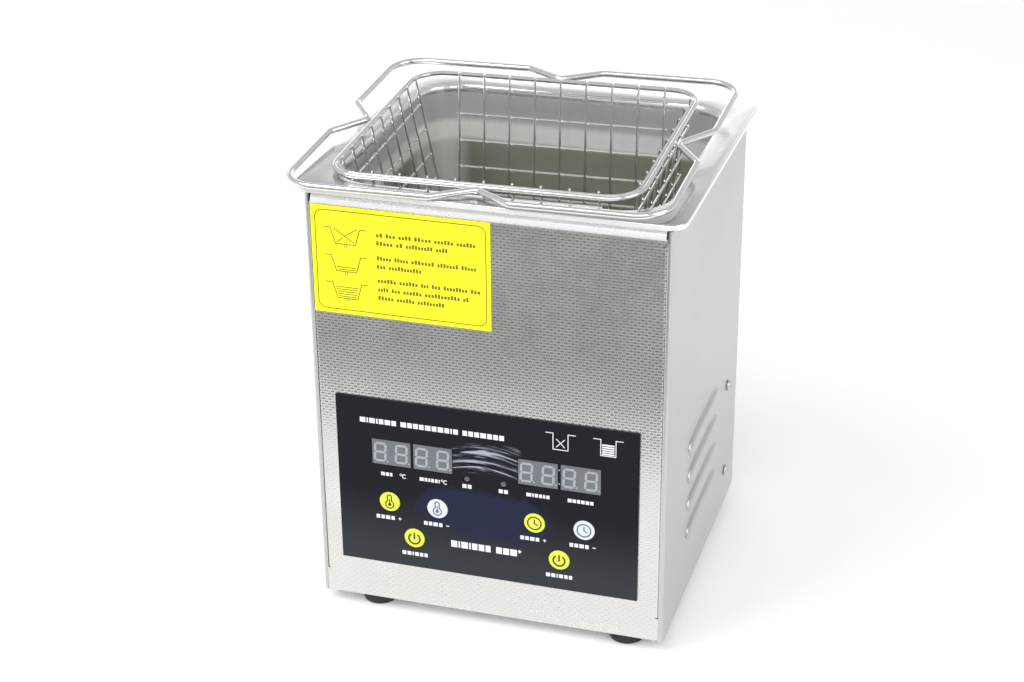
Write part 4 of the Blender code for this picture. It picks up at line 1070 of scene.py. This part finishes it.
def lamps():
    for name in LAMPS:
        low, high, middle = spread(name)
        radius = (high.x - low.x) / 2
        rise = radius * 0.42
        profile = []
        for k in range(6, -1, -1):
            angle = pi / 2 * k / 6
            profile.append((max(radius * cos(angle), 0.0001), rise * sin(angle) - rise))
        profile.append((radius, low.y - high.y))
        bm = turned(profile, 28)
        turn = Matrix.Translation((middle.x, low.y, middle.z)) @ FACE_FRONT
        piece(name + "_lens", bm, LENS, "case", [name], at=turn)


def feet():
    for name in ("front_left_foot", "front_right_foot", "rear_left_foot", "rear_right_foot"):
        low, high, middle = spread(name)
        radius = (high.x - low.x) / 2
        profile = [(0.0036, 0.002), (0.0036, 0.0003), (0.0039, 0.0), (0.0074, 0.0), (0.0084, 0.0004)]
        profile += [(radius, 0.0016), (0.0088, 0.0045), (0.0083, 0.0056)]
        profile += [(0.0025, 0.0057), (0.0025, high.z)]
        bm = turned(profile, 40)
        spot = Matrix.Translation((middle.x, middle.y, 0))
        piece(name + "_moulding", bm, RUBBER, "case", [name], at=spot)
        screw = turned(((0.0031, 0.00195), (0.0031, 0.0015), (0.0024, 0.001), (0.0009, 0.0008)), 24)
        piece(name + "_screw", screw, ZINC, "case", at=spot)


def side_screws():
    """Pan heads with a cross recess."""
    for name in ("left_lower_screw", "left_upper_screw", "right_lower_screw", "right_upper_screw"):
        low, high, middle = spread(name)
        side = -1 if name.startswith("left") else 1
        outer = high.x if side > 0 else low.x
        length = high.x - low.x
        radius, under, dome = 0.0029, 0.0019, 0.0011
        profile = [(0.0014, -length), (0.0015, -under), (radius, -under), (radius, -dome)]
        for angle in (0.35, 0.7, 1.0, 1.25, 1.45):
            profile.append((radius * cos(angle), -dome + dome * sin(angle)))
        bm = turned(profile, 36)
        turn = Matrix.Translation((outer, middle.y, middle.z))
        turn = turn @ Matrix.Rotation(side * pi / 2, 4, "Y")
        turn = turn @ Matrix.Rotation(0.5 + middle.z * 9, 4, "Z")
        head = piece(name + "_head", bm, SCREW, "case", [name], at=turn)
        cross = bmesh.new()
        for size in ((0.0036, 0.0007, 0.0018), (0.0007, 0.0036, 0.0018)):
            block(cross, size)
        carve(head, cross, turn)


def carve(target, bm, at):
    """Cuts the bmesh's shape out of target and keeps the result in its mesh."""
    mesh = bpy.data.meshes.new("cutter")
    bm.to_mesh(mesh)
    bm.free()
    mesh.transform(at)
    cutter = bpy.data.objects.new("cutter", mesh)
    link(cutter)
    modifier = target.modifiers.new("Cut", "BOOLEAN")
    modifier.object = cutter
    modifier.solver = "EXACT"
    modifier.use_self = True
    graph = bpy.context.evaluated_depsgraph_get()
    made = bpy.data.meshes.new_from_object(target.evaluated_get(graph))
    target.modifiers.clear()
    target.data = made
    bpy.data.objects.remove(cutter)


def inlet_blades():
    """Metal blades over the inlet's three pins."""
    low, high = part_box("mains_inlet")
    x, face = (low.x + high.x) / 2, high.y
    recess_z = (low.z + high.z) / 2 + 0.0055
    pins = ((-0.007, -0.001), (0.007, -0.001), (0.0, 0.003))
    size = (0.00212, 0.0096, 0.00412)
    for number, (dx, dz) in enumerate(pins, 1):
        bm = bmesh.new()
        spot = Matrix.Translation((x + dx, face - 0.00495 - size[1] / 2, recess_z + dz))
        block(bm, size, spot)
        bmesh.ops.bevel(bm, geom=bm.edges[:], offset=0.0004, segments=2, affect="EDGES")
        piece(f"inlet_blade_{number}", bm, ZINC, "case")


def rocker_marks():
    """The usual bar and ring on the rocker's two halves, riding with it."""
    middle = centre_of("rocker")
    tilt = Matrix.Translation((middle.x, *ROCKER_PIVOT)) @ Matrix.Rotation(ROCKER_REST, 4, "X")
    out, up, slope, radius = 0.00318, 0.0043, 0.33, 0.0009
    bm = bmesh.new()
    spot = Matrix.Translation((0, out, up)) @ Matrix.Rotation(slope, 4, "X")
    block(bm, (0.0004, 0.0001, 0.0018), spot)
    spot = Matrix.Translation((0, out, -up)) @ Matrix.Rotation(-slope, 4, "X")
    ring = [spot @ Vector((radius * cos(a), 0.0, radius * sin(a))) for a in full_turn(20)]
    tube(bm, ring, 0.00014, spot.to_3x3() @ Vector((0, 1, 0)), closed=True, steps=6)
    piece("rocker_marks", bm, PRINT_WHITE, "rocker_body", at=tilt)


# --- stage ---
def stage():
    """A plain pale floor, and a low grey card in front that only the shiny faces pick up."""
    f = Finish("studio_floor", Roughness=0.6, Emission_Color=(1, 1, 1, 1), Emission_Strength=0.1)
    grain = f.noise(30.0, 3.0, 0.5)
    material = f.surface(f.blend(grain, (0.93, 0.93, 0.935), (0.96, 0.96, 0.965)))
    flat_sheet("floor", 6.0, (0, 0, 0), material)
    f = Finish("grey_card", Roughness=0.9)
    weave = f.noise(60.0, 3.0, 0.5)
    material = f.surface(f.blend(weave, (0.2, 0.2, 0.205), (0.23, 0.23, 0.235)))
    card = flat_sheet("grey_card", 0.75, (0, -1.07, 0.004), material)
    card.visible_camera = False
    card.visible_shadow = False
    card.visible_diffuse = False


def flat_sheet(name, half, place, material):
    bm = bmesh.new()
    bmesh.ops.create_grid(bm, x_segments=1, y_segments=1, size=half)
    mesh = bpy.data.meshes.new(name)
    bm.to_mesh(mesh)
    bm.free()
    mesh.materials.append(material)
    sheet = bpy.data.objects.new(name, mesh)
    sheet.location = place
    link(sheet)
    return sheet


def area_light(name, spot, target, size, watts):
    data = bpy.data.lights.new(name, "AREA")
    data.shape = "RECTANGLE"
    data.size, data.size_y = size
    data.energy = watts
    light = bpy.data.objects.new(name, data)
    light.location = spot
    light.rotation_euler = (Vector(target) - Vector(spot)).to_track_quat("-Z", "Y").to_euler()
    link(light)


def lights():
    world = bpy.data.worlds.new("studio")
    bpy.context.scene.world = world
    world.use_nodes = True
    nodes, links = world.node_tree.nodes, world.node_tree.links
    background = nodes["Background"]
    place = nodes.new("ShaderNodeTexCoord")
    split = nodes.new("ShaderNodeSeparateXYZ")
    links.new(place.outputs["Generated"], split.inputs[0])
    ramp = nodes.new("ShaderNodeValToRGB")
    stops = ((0.0, (0.85, 0.85, 0.86, 1)), (0.8, (0.72, 0.72, 0.73, 1)))
    for element, (spot, tone) in zip(ramp.color_ramp.elements, stops):
        element.position = spot
        element.color = tone
    links.new(split.outputs["Z"], ramp.inputs[0])
    links.new(ramp.outputs[0], background.inputs["Color"])
    background.inputs["Strength"].default_value = 0.8
    area_light("key", (-0.9, -0.8, 1.5), (0, 0, 0.1), (1.1, 0.9), 14)
    area_light("fill", (1.3, -0.3, 0.9), (0, 0, 0.12), (0.9, 0.9), 5)
    area_light("front", (0.4, -1.5, 1.3), (0, 0, 0.15), (1.4, 0.8), 12)
    area_light("backdrop", (-0.5, 1.9, 0.62), (0, 0, 0.2), (2.6, 0.5), 5)


def camera():
    """At the angle the object is looked at: from the right front and above."""
    azimuth, elevation, roll = radians(17.268), radians(25.533), radians(-0.527)
    level = cos(elevation)
    back = Vector((sin(azimuth) * level, -cos(azimuth) * level, sin(elevation)))
    right = Vector((0, 0, 1)).cross(back).normalized()
    up = back.cross(right)
    across = right * cos(roll) + up * sin(roll)
    upright = up * cos(roll) - right * sin(roll)
    data = bpy.data.cameras.new("camera")
    data.lens = 73.34
    data.sensor_width = 36.0
    data.clip_start, data.clip_end = 0.01, 50
    eye = bpy.data.objects.new("camera", data)
    turn = Matrix((across, upright, back)).transposed().to_4x4()
    eye.matrix_world = Matrix.Translation((0.2762, -0.9217, 0.5794)) @ turn
    link(eye)
    bpy.context.scene.camera = eye
    settings = bpy.context.scene.view_settings
    settings.view_transform = "Standard"
    settings.look = "None"


dress_cad_nodes()
seams()
tank()
basket()
displays()
keys()
legends()
label_print()
lamps()
feet()
side_screws()
inlet_blades()
rocker_marks()
stage()
lights()
camera()
